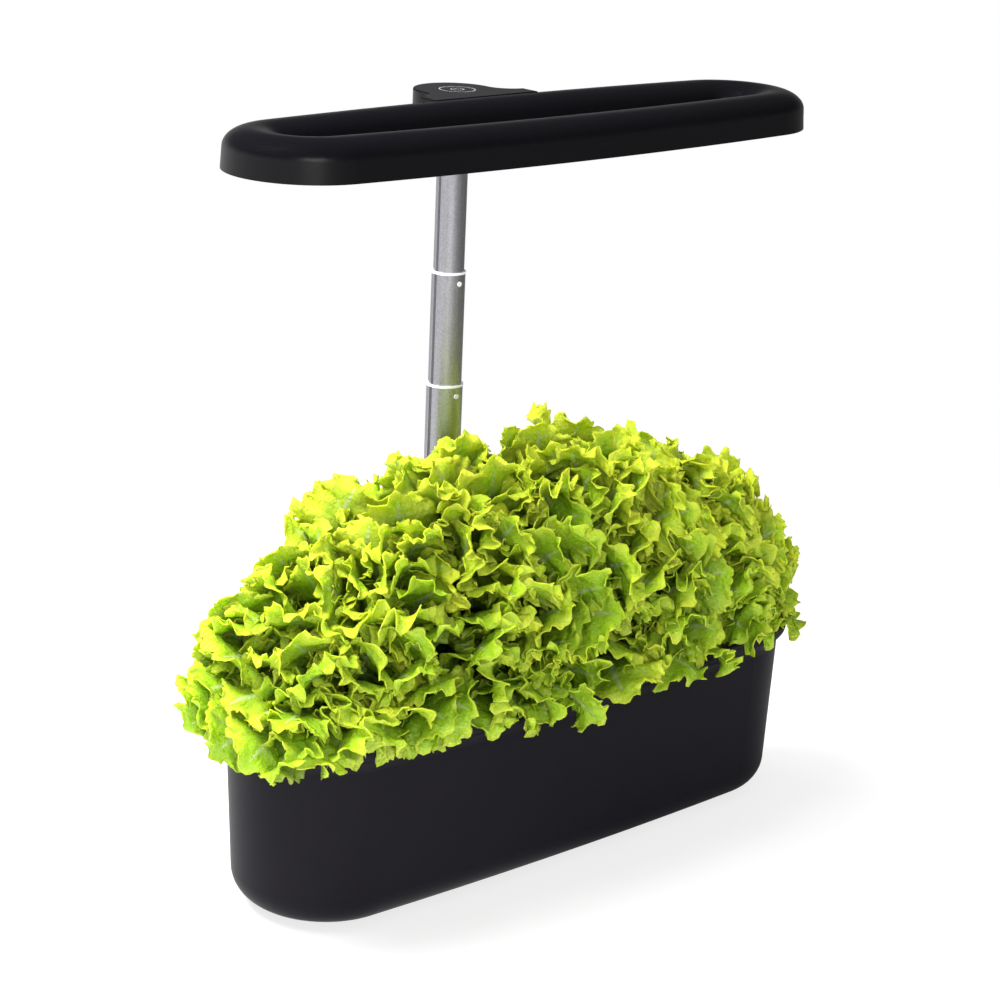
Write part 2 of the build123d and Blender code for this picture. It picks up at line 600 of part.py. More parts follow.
def rear_housing():
    low_z = FOOT_PROUD + FLANGE_THICK
    wall = HOUSING_WALL
    outer = extrude(Pos(0, 0, low_z) * housing_plan(0), HOUSING_TOP_Z - low_z)
    outer = fillet(outer.edges().group_by(Axis.Z)[-1], HOUSING_TOP_FILLET)
    tank_side = tub(TANK_LENGTH + 2 * HOUSING_FIT, TANK_WIDTH + 2 * HOUSING_FIT, TANK_SIDE_BOW,
                    TANK_RIM_Z, FOOT_PROUD, TANK_LEAN, TANK_BASE_FILLET)
    neck = block(-HOUSING_WIDTH, HOUSING_WIDTH, TANK_Y - TANK_WIDTH, HOUSING_NECK_Y,
                 TANK_RIM_Z - 2 * wall, HOUSING_TOP_Z)
    inner = extrude(Pos(0, 0, low_z) * housing_plan(wall), HOUSING_TOP_Z - wall - low_z)
    inner -= tub(TANK_LENGTH + 2 * (HOUSING_FIT + wall), TANK_WIDTH + 2 * (HOUSING_FIT + wall), TANK_SIDE_BOW,
                 TANK_RIM_Z, FOOT_PROUD, TANK_LEAN, TANK_BASE_FILLET)
    inner -= block(-HOUSING_WIDTH, HOUSING_WIDTH, TANK_Y - TANK_WIDTH, HOUSING_NECK_Y + wall,
                   TANK_RIM_Z - 3 * wall, HOUSING_TOP_Z)
    shell = outer - tank_side - neck - inner
    socket_radius = tube_radius(3) + MAST_RUN
    bosses = [rod(BOSS_RADIUS, low_z, low_z + BOSS_HEIGHT, x, y) for x, y in screw_places()]
    shell += bosses
    shell += rod(socket_radius + SOCKET_WALL, MAST_FOOT_Z - SOCKET_WALL, HOUSING_TOP_Z - wall / 2, 0, MAST_Y)
    shell -= rod(socket_radius, MAST_FOOT_Z, HOUSING_TOP_Z, 0, MAST_Y)
    shell -= rod(socket_radius - SOCKET_WALL, MAST_FOOT_Z - SOCKET_WALL, MAST_FOOT_Z, 0, MAST_Y)
    for x, y in screw_places():
        shell -= rod(SCREW_RADIUS + SCREW_PILOT_FIT, low_z, low_z + SCREW_LENGTH, x, y)
    hole = Pos(0, HOUSING_REAR_Y - wall, INLET_Z) * Rot(90, 0, 0) * Cylinder(INLET_RADIUS + INLET_FIT, 4 * wall)
    return shell - hole


def housing_screws():
    head_z = FOOT_PROUD
    screws = []
    for x, y in screw_places():
        head = rod(SCREW_HEAD_RADIUS, head_z, head_z + SCREW_HEAD_HEIGHT, x, y)
        screws.append(head + rod(SCREW_RADIUS, head_z, head_z + FLANGE_THICK + SCREW_LENGTH - SCREW_TIP_ROOM, x, y))
    return screws


def dc_inlet():
    """The barrel power inlet, with its centre pin, in the back of the housing."""
    barrel = Cylinder(INLET_RADIUS, INLET_LENGTH) - Pos(0, 0, INLET_FLANGE) * Cylinder(INLET_BORE_RADIUS, INLET_LENGTH)
    bezel = Pos(0, 0, INLET_LENGTH / 2 + INLET_FLANGE / 2) * (
        Cylinder(INLET_RADIUS + INLET_FLANGE, INLET_FLANGE) - Cylinder(INLET_BORE_RADIUS, INLET_FLANGE))
    pin = Pos(0, 0, -INLET_FLANGE) * Cylinder(INLET_PIN_RADIUS, INLET_LENGTH - INLET_FLANGE)
    return Pos(0, HOUSING_REAR_Y - INLET_LENGTH / 2, INLET_Z) * Rot(-90, 0, 0) * (barrel + bezel + pin)


def control_board():
    """The timer and driver board, standing in the dry housing, with its larger components."""
    left, high = -BOARD_WIDTH / 2, BOARD_Z + BOARD_HEIGHT
    board = block(left, -left, BOARD_Y - BOARD_THICK, BOARD_Y, BOARD_Z, high)
    row_z = high - COMPONENT_EDGE
    wide, deep, tall = TERMINAL_SIZE
    terminal_x = left + COMPONENT_EDGE
    terminal = block(terminal_x, terminal_x + wide, BOARD_Y, BOARD_Y + deep, row_z - tall, row_z)
    wide, deep, tall = CHIP_SIZE
    chip = block(-wide / 2, wide / 2, BOARD_Y, BOARD_Y + deep, row_z - tall, row_z)
    capacitor = Pos(-left - COMPONENT_EDGE - CAPACITOR_RADIUS, BOARD_Y + CAPACITOR_LENGTH / 2, row_z - CAPACITOR_RADIUS)
    capacitor *= Rot(90, 0, 0) * Cylinder(CAPACITOR_RADIUS, CAPACITOR_LENGTH)
    return board + terminal + chip + capacitor


# ---- pump ----

def pump_axis():
    """The rotor's line: it runs along X through the middle of the pump."""
    return Pos(PUMP_X, PUMP_Y, tank_floor_z() + PUMP_LIFT + PUMP_HEIGHT / 2) * Rot(0, 90, 0)


def pump_housing():
    case = Box(PUMP_HEIGHT, PUMP_WIDTH, PUMP_LENGTH)
    case = fillet(case.edges().filter_by(Axis.Z), PUMP_CORNER)
    well = Pos(0, 0, (PUMP_LENGTH - ROTOR_LENGTH) / 2) * Cylinder(ROTOR_RADIUS + ROTOR_RUN, ROTOR_LENGTH)
    return pump_axis() * (case - well - Cylinder(SHAFT_RADIUS, PUMP_LENGTH))


def pump_cover():
    """The volute at the right end, with the intake in its face and the outlet on top."""
    inner_radius = BLADE_RADIUS + ROTOR_RUN
    case = Box(PUMP_HEIGHT, PUMP_WIDTH, PUMP_COVER_THICK)
    case = fillet(case.edges().filter_by(Axis.Z), PUMP_CORNER)
    nozzle_run = PUMP_HEIGHT / 2 + NOZZLE_LENGTH
    nozzle_at = Pos(-nozzle_run / 2, 0, 0) * Rot(0, 90, 0)
    case += nozzle_at * Cylinder(NOZZLE_RADIUS, nozzle_run)
    case -= Pos(0, 0, -NOZZLE_WALL) * Cylinder(inner_radius, PUMP_COVER_THICK)
    case -= nozzle_at * Cylinder(NOZZLE_RADIUS - NOZZLE_WALL, nozzle_run)
    intake = Cylinder(INTAKE_RADIUS, PUMP_COVER_THICK)
    spider = Box(2 * INTAKE_RADIUS, NOZZLE_WALL, NOZZLE_WALL) + Box(NOZZLE_WALL, 2 * INTAKE_RADIUS, NOZZLE_WALL)
    spider = Pos(0, 0, (PUMP_COVER_THICK - NOZZLE_WALL) / 2) * spider
    place = Pos(0, 0, (PUMP_LENGTH + PUMP_COVER_THICK) / 2)
    return pump_axis() * place * (case - intake + spider)


def pump_shaft():
    length = PUMP_LENGTH + PUMP_COVER_THICK - NOZZLE_WALL
    return pump_axis() * Pos(0, 0, (length - PUMP_LENGTH) / 2) * Cylinder(SHAFT_RADIUS, length)


def pump_rotor():
    """The magnet rotor and its paddle wheel, which spin on the fixed shaft."""
    magnet_low = PUMP_LENGTH / 2 - ROTOR_LENGTH + ROTOR_RUN
    magnet_high = PUMP_LENGTH / 2 + ROTOR_RUN
    rotor = rod(ROTOR_RADIUS, magnet_low, magnet_high)
    for i in range(BLADE_COUNT):
        blade = block(0, BLADE_RADIUS, -BLADE_THICK / 2, BLADE_THICK / 2, magnet_high, magnet_high + BLADE_WIDTH)
        rotor += Rot(0, 0, 360 / BLADE_COUNT * i) * blade
    rotor -= rod(SHAFT_RADIUS + SHAFT_RUN, magnet_low, magnet_high + BLADE_WIDTH)
    return pump_axis() * rotor


def pump_filter():
    """The sponge block over the intake."""
    x0 = PUMP_X + PUMP_LENGTH / 2 + PUMP_COVER_THICK
    half_y = PUMP_WIDTH / 2 - PUMP_CORNER
    z0 = tank_floor_z() + PUMP_LIFT
    z1 = z0 + PUMP_HEIGHT
    pad = block(x0, x0 + FILTER_THICK, PUMP_Y - half_y, PUMP_Y + half_y, z0 + PUMP_CORNER, z1 - PUMP_CORNER)
    return fillet(pad.edges().filter_by(Axis.X), PUMP_CORNER)


def pump_feet():
    """Four suction cups under the pump."""
    x = PUMP_LENGTH / 2 - PUMP_FOOT_RADIUS
    y = PUMP_WIDTH / 2 - PUMP_FOOT_RADIUS
    low = tank_floor_z()
    cup = Cone(PUMP_FOOT_RADIUS, PUMP_FOOT_RADIUS / 2, PUMP_LIFT)
    return [Pos(PUMP_X + a, PUMP_Y + b, low + PUMP_LIFT / 2) * cup for a in (-x, x) for b in (-y, y)]


# ---- ring lamp ----

def ring_path(z):
    """The ring's centreline, halfway across its member."""
    return Pos(0, RING_Y, z) * oval_wire(RING_LENGTH - RING_MEMBER, RING_WIDTH - RING_MEMBER, RING_SIDE_BOW)


def ring_section(path, inset):
    """The member's section: straight sides that lean in a little, under an elliptical dome."""
    half = RING_MEMBER / 2 - inset
    shoulder = RING_HEIGHT - RING_DOME
    top_half = half - RING_LEAN
    dome = EllipticalCenterArc((0, shoulder), top_half, RING_DOME - inset, start_angle=0, arc_size=180)
    sides = Polyline((-top_half, shoulder), (-half, 0), (half, 0), (top_half, shoulder))
    return section_plane(path) * make_face(dome + sides)


def ring_solid(inset):
    path = ring_path(RING_UNDERSIDE_Z)
    return sweep(ring_section(path, inset), path=path)


def ring_band(width, low_z, high_z):
    """A flat band of the given width along the ring's centreline."""
    outer = oval(RING_LENGTH - RING_MEMBER + width, RING_WIDTH - RING_MEMBER + width, RING_SIDE_BOW)
    inner = oval(RING_LENGTH - RING_MEMBER - width, RING_WIDTH - RING_MEMBER - width, RING_SIDE_BOW)
    return Pos(0, RING_Y, low_z) * extrude(outer - inner, high_z - low_z)


def neck_plan(inset):
    """The neck's outline: a round end about the mast that flares into the ring's rear side."""
    width = 2 * (NECK_RADIUS + NECK_FLARE)
    plan = Pos(0, MAST_Y) * Circle(NECK_RADIUS - inset)
    plan += Pos(0, (NECK_ROOT_Y + MAST_Y) / 2) * Rectangle(width, MAST_Y - NECK_ROOT_Y)
    for side in (-1, 1):
        flare_y = NECK_MEET_Y + NECK_FLARE
        plan -= Pos(side * (NECK_RADIUS + NECK_FLARE), flare_y) * Circle(NECK_FLARE + inset)
        plan -= Pos(side * (NECK_RADIUS + NECK_FLARE), flare_y + NECK_FLARE) * Rectangle(
            2 * (NECK_FLARE + inset), 2 * NECK_FLARE)
    return plan


def ring_top_z():
    return RING_UNDERSIDE_Z + RING_HEIGHT


def lamp_shell():
    top = ring_top_z() + NECK_PROUD
    neck = extrude(Pos(0, 0, RING_UNDERSIDE_Z) * neck_plan(0), top - RING_UNDERSIDE_Z)
    neck = fillet(neck.edges().group_by(Axis.Z)[-1], NECK_EDGE)
    neck_hollow = extrude(Pos(0, 0, RING_UNDERSIDE_Z) * neck_plan(LAMP_WALL), top - LAMP_WALL - RING_UNDERSIDE_Z)
    shell = ring_solid(0) + neck
    shell -= ring_solid(LAMP_WALL) + neck_hollow
    socket_radius = tube_radius(0) + MAST_RUN
    socket_top = RING_UNDERSIDE_Z + LAMP_SOCKET_DEPTH
    cap_top = socket_top + LAMP_SOCKET_WALL
    reach = NECK_RADIUS - LAMP_WALL / 2
    half_web = NECK_WEB / 2
    web_low = cover_z() + COVER_THICK + COVER_FIT
    shell += rod(socket_radius + LAMP_SOCKET_WALL, RING_UNDERSIDE_Z, cap_top, 0, MAST_Y)
    shell += block(-reach, reach, MAST_Y - half_web, MAST_Y + half_web, web_low, cap_top)
    shell += block(-half_web, half_web, MAST_Y, MAST_Y + reach, web_low, cap_top)
    for x, y in neck_screw_places():
        shell += rod(BOSS_RADIUS + BOSS_SINK, web_low, top - LAMP_WALL / 2, x, y)
        shell -= rod(SCREW_RADIUS + SCREW_PILOT_FIT, web_low, cover_z() + LAMP_SCREW_LENGTH + SCREW_TIP_ROOM, x, y)
    return shell - rod(socket_radius, RING_UNDERSIDE_Z, socket_top, 0, MAST_Y)


def cover_z():
    return RING_UNDERSIDE_Z + COVER_RECESS


def bridge(grow):
    """The stretch at the rear where the light slot stops and the cover joins across."""
    half = BRIDGE_WIDTH / 2 + grow
    return block(-half, half, RING_Y, RING_Y + RING_WIDTH / 2, RING_UNDERSIDE_Z, ring_top_z())


def lamp_bottom_cover():
    """The ring's flat underside, with a ledged slot for the diffuser."""
    width = RING_MEMBER - 2 * (LAMP_WALL + COVER_FIT)
    low, high = cover_z(), cover_z() + COVER_THICK
    slot = ring_band(DIFFUSER_WIDTH - 2 * DIFFUSER_LEDGE, low, high)
    slot += ring_band(DIFFUSER_WIDTH, low + COVER_THICK / 2, high)
    return ring_band(width, low, high) - (slot - bridge(0))


def led_diffuser():
    """The frosted strip: a flange rests on the cover's ledge and its face fills the slot."""
    ledge_z = cover_z() + COVER_THICK / 2
    flange = ring_band(DIFFUSER_WIDTH - 2 * COVER_FIT, ledge_z, ledge_z + DIFFUSER_THICK)
    face = ring_band(DIFFUSER_WIDTH - 2 * (DIFFUSER_LEDGE + COVER_FIT), cover_z(), ledge_z)
    return flange + face - bridge(COVER_FIT)


def led_board_z():
    return cover_z() + COVER_THICK + LED_BOARD_LIFT


def led_board():
    return ring_band(LED_BOARD_WIDTH, led_board_z(), led_board_z() + LED_BOARD_THICK)


def led_chips():
    """The row of surface-mount LEDs along the board, facing down."""
    path = ring_path(led_board_z() - LED_HEIGHT / 2)
    chips = []
    for i in range(LED_COUNT):
        at, along = path @ (i / LED_COUNT), path % (i / LED_COUNT)
        turn = degrees(atan2(along.Y, along.X))
        chips.append(Pos(at.X, at.Y, at.Z) * Rot(0, 0, turn) * Box(LED_SIZE, LED_SIZE, LED_HEIGHT))
    return chips


def neck_screw_places():
    reach = NECK_RADIUS - LAMP_WALL - BOSS_RADIUS - COVER_FIT
    return [(reach * cos(radians(a)), MAST_Y + reach * sin(radians(a))) for a in NECK_SCREW_ANGLES]


def neck_cover():
    """The neck's underside, open round the mast socket."""
    low, high = cover_z(), cover_z() + COVER_THICK
    cover = extrude(Pos(0, 0, low) * neck_plan(LAMP_WALL + COVER_FIT), high - low)
    cover -= block(-RING_LENGTH, RING_LENGTH, 0, NECK_MEET_Y + COVER_FIT, low, high)
    cover -= rod(tube_radius(0) + MAST_RUN + LAMP_SOCKET_WALL + COVER_FIT, low, high, 0, MAST_Y)
    for x, y in neck_screw_places():
        cover -= rod(SCREW_RADIUS + COVER_FIT, low, high, x, y)
    return cover


def touch_board():
    """The touch switch's board, bonded under the top of the neck."""
    high = ring_top_z() + NECK_PROUD - LAMP_WALL
    return rod(TOUCH_BOARD_RADIUS, high - TOUCH_BOARD_THICK, high, 0, MAST_Y - TOUCH_FORWARD)


def lamp_screws():
    head_high = cover_z()
    screws = []
    for x, y in neck_screw_places():
        head = rod(SCREW_HEAD_RADIUS, head_high - COVER_RECESS, head_high, x, y)
        screws.append(head + rod(SCREW_RADIUS, head_high, head_high + LAMP_SCREW_LENGTH, x, y))
    return screws


# ---- the whole object ----

def build_parts():
    """Every node's name and its solid or solids."""
    model = {
        "water_tank": water_tank(),
        "rubber_feet": rubber_feet(),
        "rear_housing": rear_housing(),
        "housing_screws": housing_screws(),
        "dc_inlet": dc_inlet(),
        "control_board": control_board(),
        "grow_deck": grow_deck(),
        "fill_cap": fill_cap(),
        "water_gauge": water_gauge(),
        "pump_housing": pump_housing(),
        "pump_cover": pump_cover(),
        "pump_shaft": pump_shaft(),
        "pump_rotor": pump_rotor(),
        "pump_filter": pump_filter(),
        "pump_feet": pump_feet(),
        "lamp_shell": lamp_shell(),
        "lamp_bottom_cover": lamp_bottom_cover(),
        "led_diffuser": led_diffuser(),
        "led_board": led_board(),
        "led_chips": led_chips(),
        "neck_cover": neck_cover(),
        "touch_board": touch_board(),
        "lamp_screws": lamp_screws(),
        "mast_base_tube": mast_tube(3, MAST_FOOT_Z, COLLAR_TOP_Z[0]),
        "mast_base_collar": mast_collar(3, COLLAR_TOP_Z[0]),
        "mast_lower_tube": mast_tube(2, COLLAR_TOP_Z[0] - TUBE_OVERLAP, COLLAR_TOP_Z[1]),
        "mast_lower_collar": mast_collar(2, COLLAR_TOP_Z[1]),
        "mast_lower_glide": mast_glide(2, COLLAR_TOP_Z[0] - TUBE_OVERLAP),
        "mast_middle_tube": mast_tube(1, COLLAR_TOP_Z[1] - TUBE_OVERLAP, COLLAR_TOP_Z[2]),
        "mast_middle_collar": mast_collar(1, COLLAR_TOP_Z[2]),
        "mast_middle_glide": mast_glide(1, COLLAR_TOP_Z[1] - TUBE_OVERLAP),
        "mast_top_tube": mast_tube(0, COLLAR_TOP_Z[2] - TUBE_OVERLAP, RING_UNDERSIDE_Z + LAMP_SOCKET_DEPTH),
        "mast_top_glide": mast_glide(0, COLLAR_TOP_Z[2] - TUBE_OVERLAP),
    }
    for number, (x, y) in enumerate(pod_places(), start=1):
        model[f"basket_{number}"] = basket(x, y)
        model[f"sponge_{number}"] = sponge(x, y)
        model[f"lettuce_{number}"] = lettuce(x, y)
    return model


os.makedirs("parts", exist_ok=True)
for name, shape in build_parts().items():
    items = shape if isinstance(shape, list) else [shape]
    export_step(Compound([solid for item in items for solid in item.solids()]), f"parts/{name}.step")
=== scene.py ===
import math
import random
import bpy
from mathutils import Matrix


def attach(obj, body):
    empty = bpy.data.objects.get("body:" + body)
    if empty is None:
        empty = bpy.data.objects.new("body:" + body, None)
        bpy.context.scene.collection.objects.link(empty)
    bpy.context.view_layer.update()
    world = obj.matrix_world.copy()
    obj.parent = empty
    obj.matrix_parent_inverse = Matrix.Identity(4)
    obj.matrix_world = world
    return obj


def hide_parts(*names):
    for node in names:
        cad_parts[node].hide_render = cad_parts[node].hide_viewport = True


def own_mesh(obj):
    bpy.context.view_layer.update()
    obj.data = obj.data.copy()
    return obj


bl_info = {
    "name": "Countertop Hydroponic Garden",
    "version": (1, 0, 0),
    "blender": (4, 5, 0),
    "location": "View3D > Sidebar > Garden",
    "description": "Dresses the garden's frame: plastics, telescopic mast, ring lamp and lettuce heads",
    "category": "Add Mesh",
}

import bmesh
import bpy
from bpy.props import FloatProperty, FloatVectorProperty, IntProperty, PointerProperty
from mathutils import Matrix, Vector, noise

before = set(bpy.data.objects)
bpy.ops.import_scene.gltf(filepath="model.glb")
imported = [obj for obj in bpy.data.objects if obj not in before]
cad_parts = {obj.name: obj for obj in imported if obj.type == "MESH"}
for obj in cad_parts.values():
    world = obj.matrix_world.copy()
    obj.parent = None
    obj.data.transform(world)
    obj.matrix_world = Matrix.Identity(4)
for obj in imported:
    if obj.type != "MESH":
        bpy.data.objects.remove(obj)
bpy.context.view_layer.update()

MM = 0.001

# ---- places and sizes shared with the frame, in millimetres ----
TANK_Y = -7.0
TANK_HALF_LENGTH = 196.0
TANK_END_RADIUS = 57.5
LIP_TOP_Z = 113.0
LIP_REACH = 5.2
DECK_TOP_Z = 98.9
POD_NUMBERS = range(1, 9)
POD_XS = (-132.0, -44.0, 44.0, 132.0)
POD_ROW_Y = 26.0
PORT_X = 171.0
MAST_Y = 68.2
HOUSING_HALF = 36.0
HOUSING_FRONT_Y = 53.4
HOUSING_TOP_Z = 114.5
LAMP_TOP_Z = 432.8

# ---- the printed touch mark: how far it lies in front of the mast's axis, and its ink ----
TOUCH_FORWARD = 1.9
PRINT_THICKNESS = 0.04 * MM
ARC_STEPS = 96

# ---- room that the leaves leave free, in millimetres ----
GAP = 1.0
MAST_CLEAR = 13.5
POD_ROOM = 22.0
POD_LIFT_TOP_Z = 162.0
# Each port's room: its X, its radius and its top.
FILL_CAP_ROOM = (PORT_X, 17.5, 117.0)
GAUGE_ROOM = (-PORT_X, 7.5, 116.0)
LIP_INSIDE = 4.0
LIP_OUTSIDE = LIP_REACH + 2.0
OVERHANG_LOW_Z = 96.0
FRONT_LIMIT_Y = -102.0

# ---- camera, in metres, degrees and millimetres of lens ----
CAMERA_PLACE = (-0.962776, -1.053734, 0.652482)
CAMERA_AZIMUTH = -42.01
CAMERA_ELEVATION = 17.4
CAMERA_ROLL = 2.47
CAMERA_LENS = 93.54

# ---- lights, in metres: each softbox's place and side ----
KEY_PLACE, KEY_SIDE = (-1.15, -1.75, 0.95), 1.0
TOP_PLACE, TOP_SIDE = (-0.6, 0.35, 1.5), 0.9
BACK_PLACE, BACK_SIDE = (-0.4, 1.4, 1.5), 1.0
LIGHTS_AIM = (0.0, 0.0, 0.2)
# The way to the room's bright wall, and how bright the wall across from it and the ceiling are.
BRIGHT_SIDE = (-0.95, 0.31, 0.0)
DIM_WALL = 0.18
CEILING = 0.12
# The floor's share of white near the object, and the distances over which it rises to 1.
NEAR_WHITE, NEAR_FLOOR, FAR_FLOOR = 0.75, 0.3, 1.0


# ---- colours and nodes ----

def srgb(hex_code):
    """An sRGB hex colour as linear RGB."""
    levels = [int(hex_code[i:i + 2], 16) / 255 for i in (1, 3, 5)]
    return tuple(c / 12.92 if c <= 0.04045 else ((c + 0.055) / 1.055) ** 2.4 for c in levels)


def rgba(colour, level=1.0):
    """A linear colour at a level of brightness, as a colour socket takes it."""
    return (*(level * c for c in colour), 1.0)


def add_node(tree, kind, inputs=None, **settings):
    """Adds a node. inputs gives a socket, by name or number, a value or another node's output."""
    node = tree.nodes.new(kind)
    for name, value in settings.items():
        setattr(node, name, value)
    for socket, value in (inputs or {}).items():
        if isinstance(value, bpy.types.NodeSocket):
            tree.links.new(value, node.inputs[socket])
        else:
            node.inputs[socket].default_value = value
    return node


def new_material(name):
    """An empty node material, its tree, and the Object coordinates in it."""
    material = bpy.data.materials.new(name)
    material.use_nodes = True
    tree = material.node_tree
    tree.nodes.clear()
    return material, tree, add_node(tree, "ShaderNodeTexCoord").outputs["Object"]


def dress(material, *nodes):
    """Gives a material to nodes of the frame."""
    for name in nodes:
        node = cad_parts[name]
        if not node.material_slots:
            node.data.materials.append(material)
        for slot in node.material_slots:
            slot.material = material


def new_piece(name, bm, material, body):
    """Turns a finished bmesh into a piece that rides on a body."""
    mesh = bpy.data.meshes.new(name)
    bm.to_mesh(mesh)
    bm.free()
    mesh.materials.append(material)
    piece = bpy.data.objects.new(name, mesh)
    bpy.context.scene.collection.objects.link(piece)
    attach(piece, body)
    return piece


# ---- settings ----

class StageSettings(bpy.types.PropertyGroup):
    floor_size: FloatProperty(name="Floor", description="Side of the pale floor", default=8.0, min=1.0,
                              unit="LENGTH")
    floor_colour: FloatVectorProperty(name="Floor colour", description="The floor's own colour", size=3,
                                      subtype="COLOR", min=0, max=1, default=srgb("#f4f4f4"))
    key_power: FloatProperty(name="Key", description="Power of the large softbox", default=16.0,
                             min=0, unit="POWER")
    top_power: FloatProperty(name="Top", description="Power of the diffused light overhead", default=66.0,
                             min=0, unit="POWER")
    back_power: FloatProperty(name="Back", description="Power of the softbox behind and above", default=16.0,
                              min=0, unit="POWER")
    room_light: FloatProperty(name="Room", description="Strength of the even light all round", default=0.66,
                              min=0)


class PlasticSettings(bpy.types.PropertyGroup):
    tank_colour: FloatVectorProperty(name="Tank", description="Colour of the tank's moulded plastic", size=3,
                                     subtype="COLOR", min=0, max=1, default=srgb("#131118"))
    lamp_colour: FloatVectorProperty(name="Lamp", description="Colour of the lamp's moulded plastic", size=3,
                                     subtype="COLOR", min=0, max=1, default=srgb("#0a090c"))
    grain: FloatProperty(name="Grain", description="Spacing of the mould's fine texture", default=0.9 * MM,
                         min=0.1 * MM, unit="LENGTH")


class MastSettings(bpy.types.PropertyGroup):
    tube_colour: FloatVectorProperty(name="Tubes", description="Colour of the anodised tubes", size=3,
                                     subtype="COLOR", min=0, max=1, default=srgb("#bab8c0"))
    collar_colour: FloatVectorProperty(name="Collars", description="Colour of bushes and buttons", size=3,
                                       subtype="COLOR", min=0, max=1, default=srgb("#e8e8ea"))
    grain: FloatProperty(name="Blast grain", description="Spacing of the blasted surface's sparkle",
                         default=1.1 * MM, min=0.1 * MM, unit="LENGTH")


class LampSettings(bpy.types.PropertyGroup):
    ring_radius: FloatProperty(name="Touch ring", description="Radius of the printed touch ring",
                               default=10.2 * MM, min=2 * MM, unit="LENGTH")
    line_width: FloatProperty(name="Line", description="Width of the printed lines", default=0.85 * MM,
                              min=0.1 * MM, unit="LENGTH")
    print_colour: FloatVectorProperty(name="Print", description="Colour of the printed lines", size=3,
                                      subtype="COLOR", min=0, max=1, default=srgb("#6c6c70"))


class LettuceSettings(bpy.types.PropertyGroup):
    spacing: FloatProperty(name="Spacing", description="Least distance between two leaf tips on the mound",
                           default=16.7 * MM, min=8 * MM, unit="LENGTH")
    blade_length: FloatProperty(name="Blade", description="Length of a leaf's broad part", default=50 * MM,
                                min=20 * MM, unit="LENGTH")
    blade_radius: FloatProperty(name="Half width", description="Half of a blade's width", default=25 * MM,
                                min=10 * MM, unit="LENGTH")
    unevenness: FloatProperty(name="Unevenness", description="How far leaf tips stand off the mound",
                              default=11 * MM, min=0, unit="LENGTH")
    ruffle: FloatProperty(name="Ruffle", description="Height of the margin's large waves", default=5.0 * MM,
                          min=0, unit="LENGTH")
    frill: FloatProperty(name="Frill", description="Height of the margin's small waves", default=3.2 * MM,
                         min=0, unit="LENGTH")
    thickness: FloatProperty(name="Thickness", description="Thickness of a leaf", default=0.5 * MM,
                             min=0.2 * MM, unit="LENGTH")
    # Partly the leaf's own paler colour and partly painted light on margins and up-facing leaves.
    bright: FloatVectorProperty(name="Young", description="Colour of young leaf and of margins", size=3,
                                subtype="COLOR", min=0, max=1, default=srgb("#eaf53c"))
    middle: FloatVectorProperty(name="Blade colour", description="Colour of grown leaf", size=3,
                                subtype="COLOR", min=0, max=1, default=srgb("#b0da20"))
    # Painted shade: the darker colour near a leaf's foot, deep in its head.
    deep: FloatVectorProperty(name="Inner", description="Colour near the foot of a leaf", size=3,
                              subtype="COLOR", min=0, max=1, default=srgb("#5c9c14"))
    # Painted shade: the colour of leaf deep inside a head.
    shaded: FloatVectorProperty(name="Inside", description="Colour of leaf deep inside a head", size=3,
                                subtype="COLOR", min=0, max=1, default=srgb("#326408"))
    rib: FloatVectorProperty(name="Rib", description="Colour of the midrib", size=3, subtype="COLOR",
                             min=0, max=1, default=srgb("#dcebb0"))
    side_veins: FloatProperty(name="Side veins", description="Side veins on a leaf, counted round it",
                              default=34, min=4)
    seed: IntProperty(name="Seed", description="Changes every leaf", default=7, min=0)


# ---- materials ----

def moulded_plastic(name, colour, grain, roughness, relief, specular=0.15):
    """Moulded plastic: an even grain that softens every highlight, drawn coarser than the mould's
    own so that it shows, and a colour that drifts a little over some 110 mm."""
    material, tree, place = new_material(name)
    fine = add_node(tree, "ShaderNodeTexNoise", {
        "Vector": place, "Scale": 1 / grain, "Detail": 2.0, "Roughness": 0.6})
    broad = add_node(tree, "ShaderNodeTexNoise", {
        "Vector": place, "Scale": 1 / (111 * MM), "Detail": 3.0})
    bump = add_node(tree, "ShaderNodeBump", {
        "Height": fine.outputs["Fac"], "Strength": relief, "Distance": 0.1 * MM})
    rough = add_node(tree, "ShaderNodeMapRange", {
        "Value": fine.outputs["Fac"], "To Min": roughness - 0.05, "To Max": roughness + 0.05})
    tint = add_node(tree, "ShaderNodeMix", {
        "Factor": broad.outputs["Fac"], "A": rgba(colour, 0.88), "B": rgba(colour, 1.12)}, data_type="RGBA")
    shader = add_node(tree, "ShaderNodeBsdfPrincipled", {
        "Base Color": tint.outputs["Result"], "Roughness": rough.outputs["Result"],
        "Normal": bump.outputs["Normal"], "Specular IOR Level": specular})
    add_node(tree, "ShaderNodeOutputMaterial", {"Surface": shader.outputs["BSDF"]})
    return material


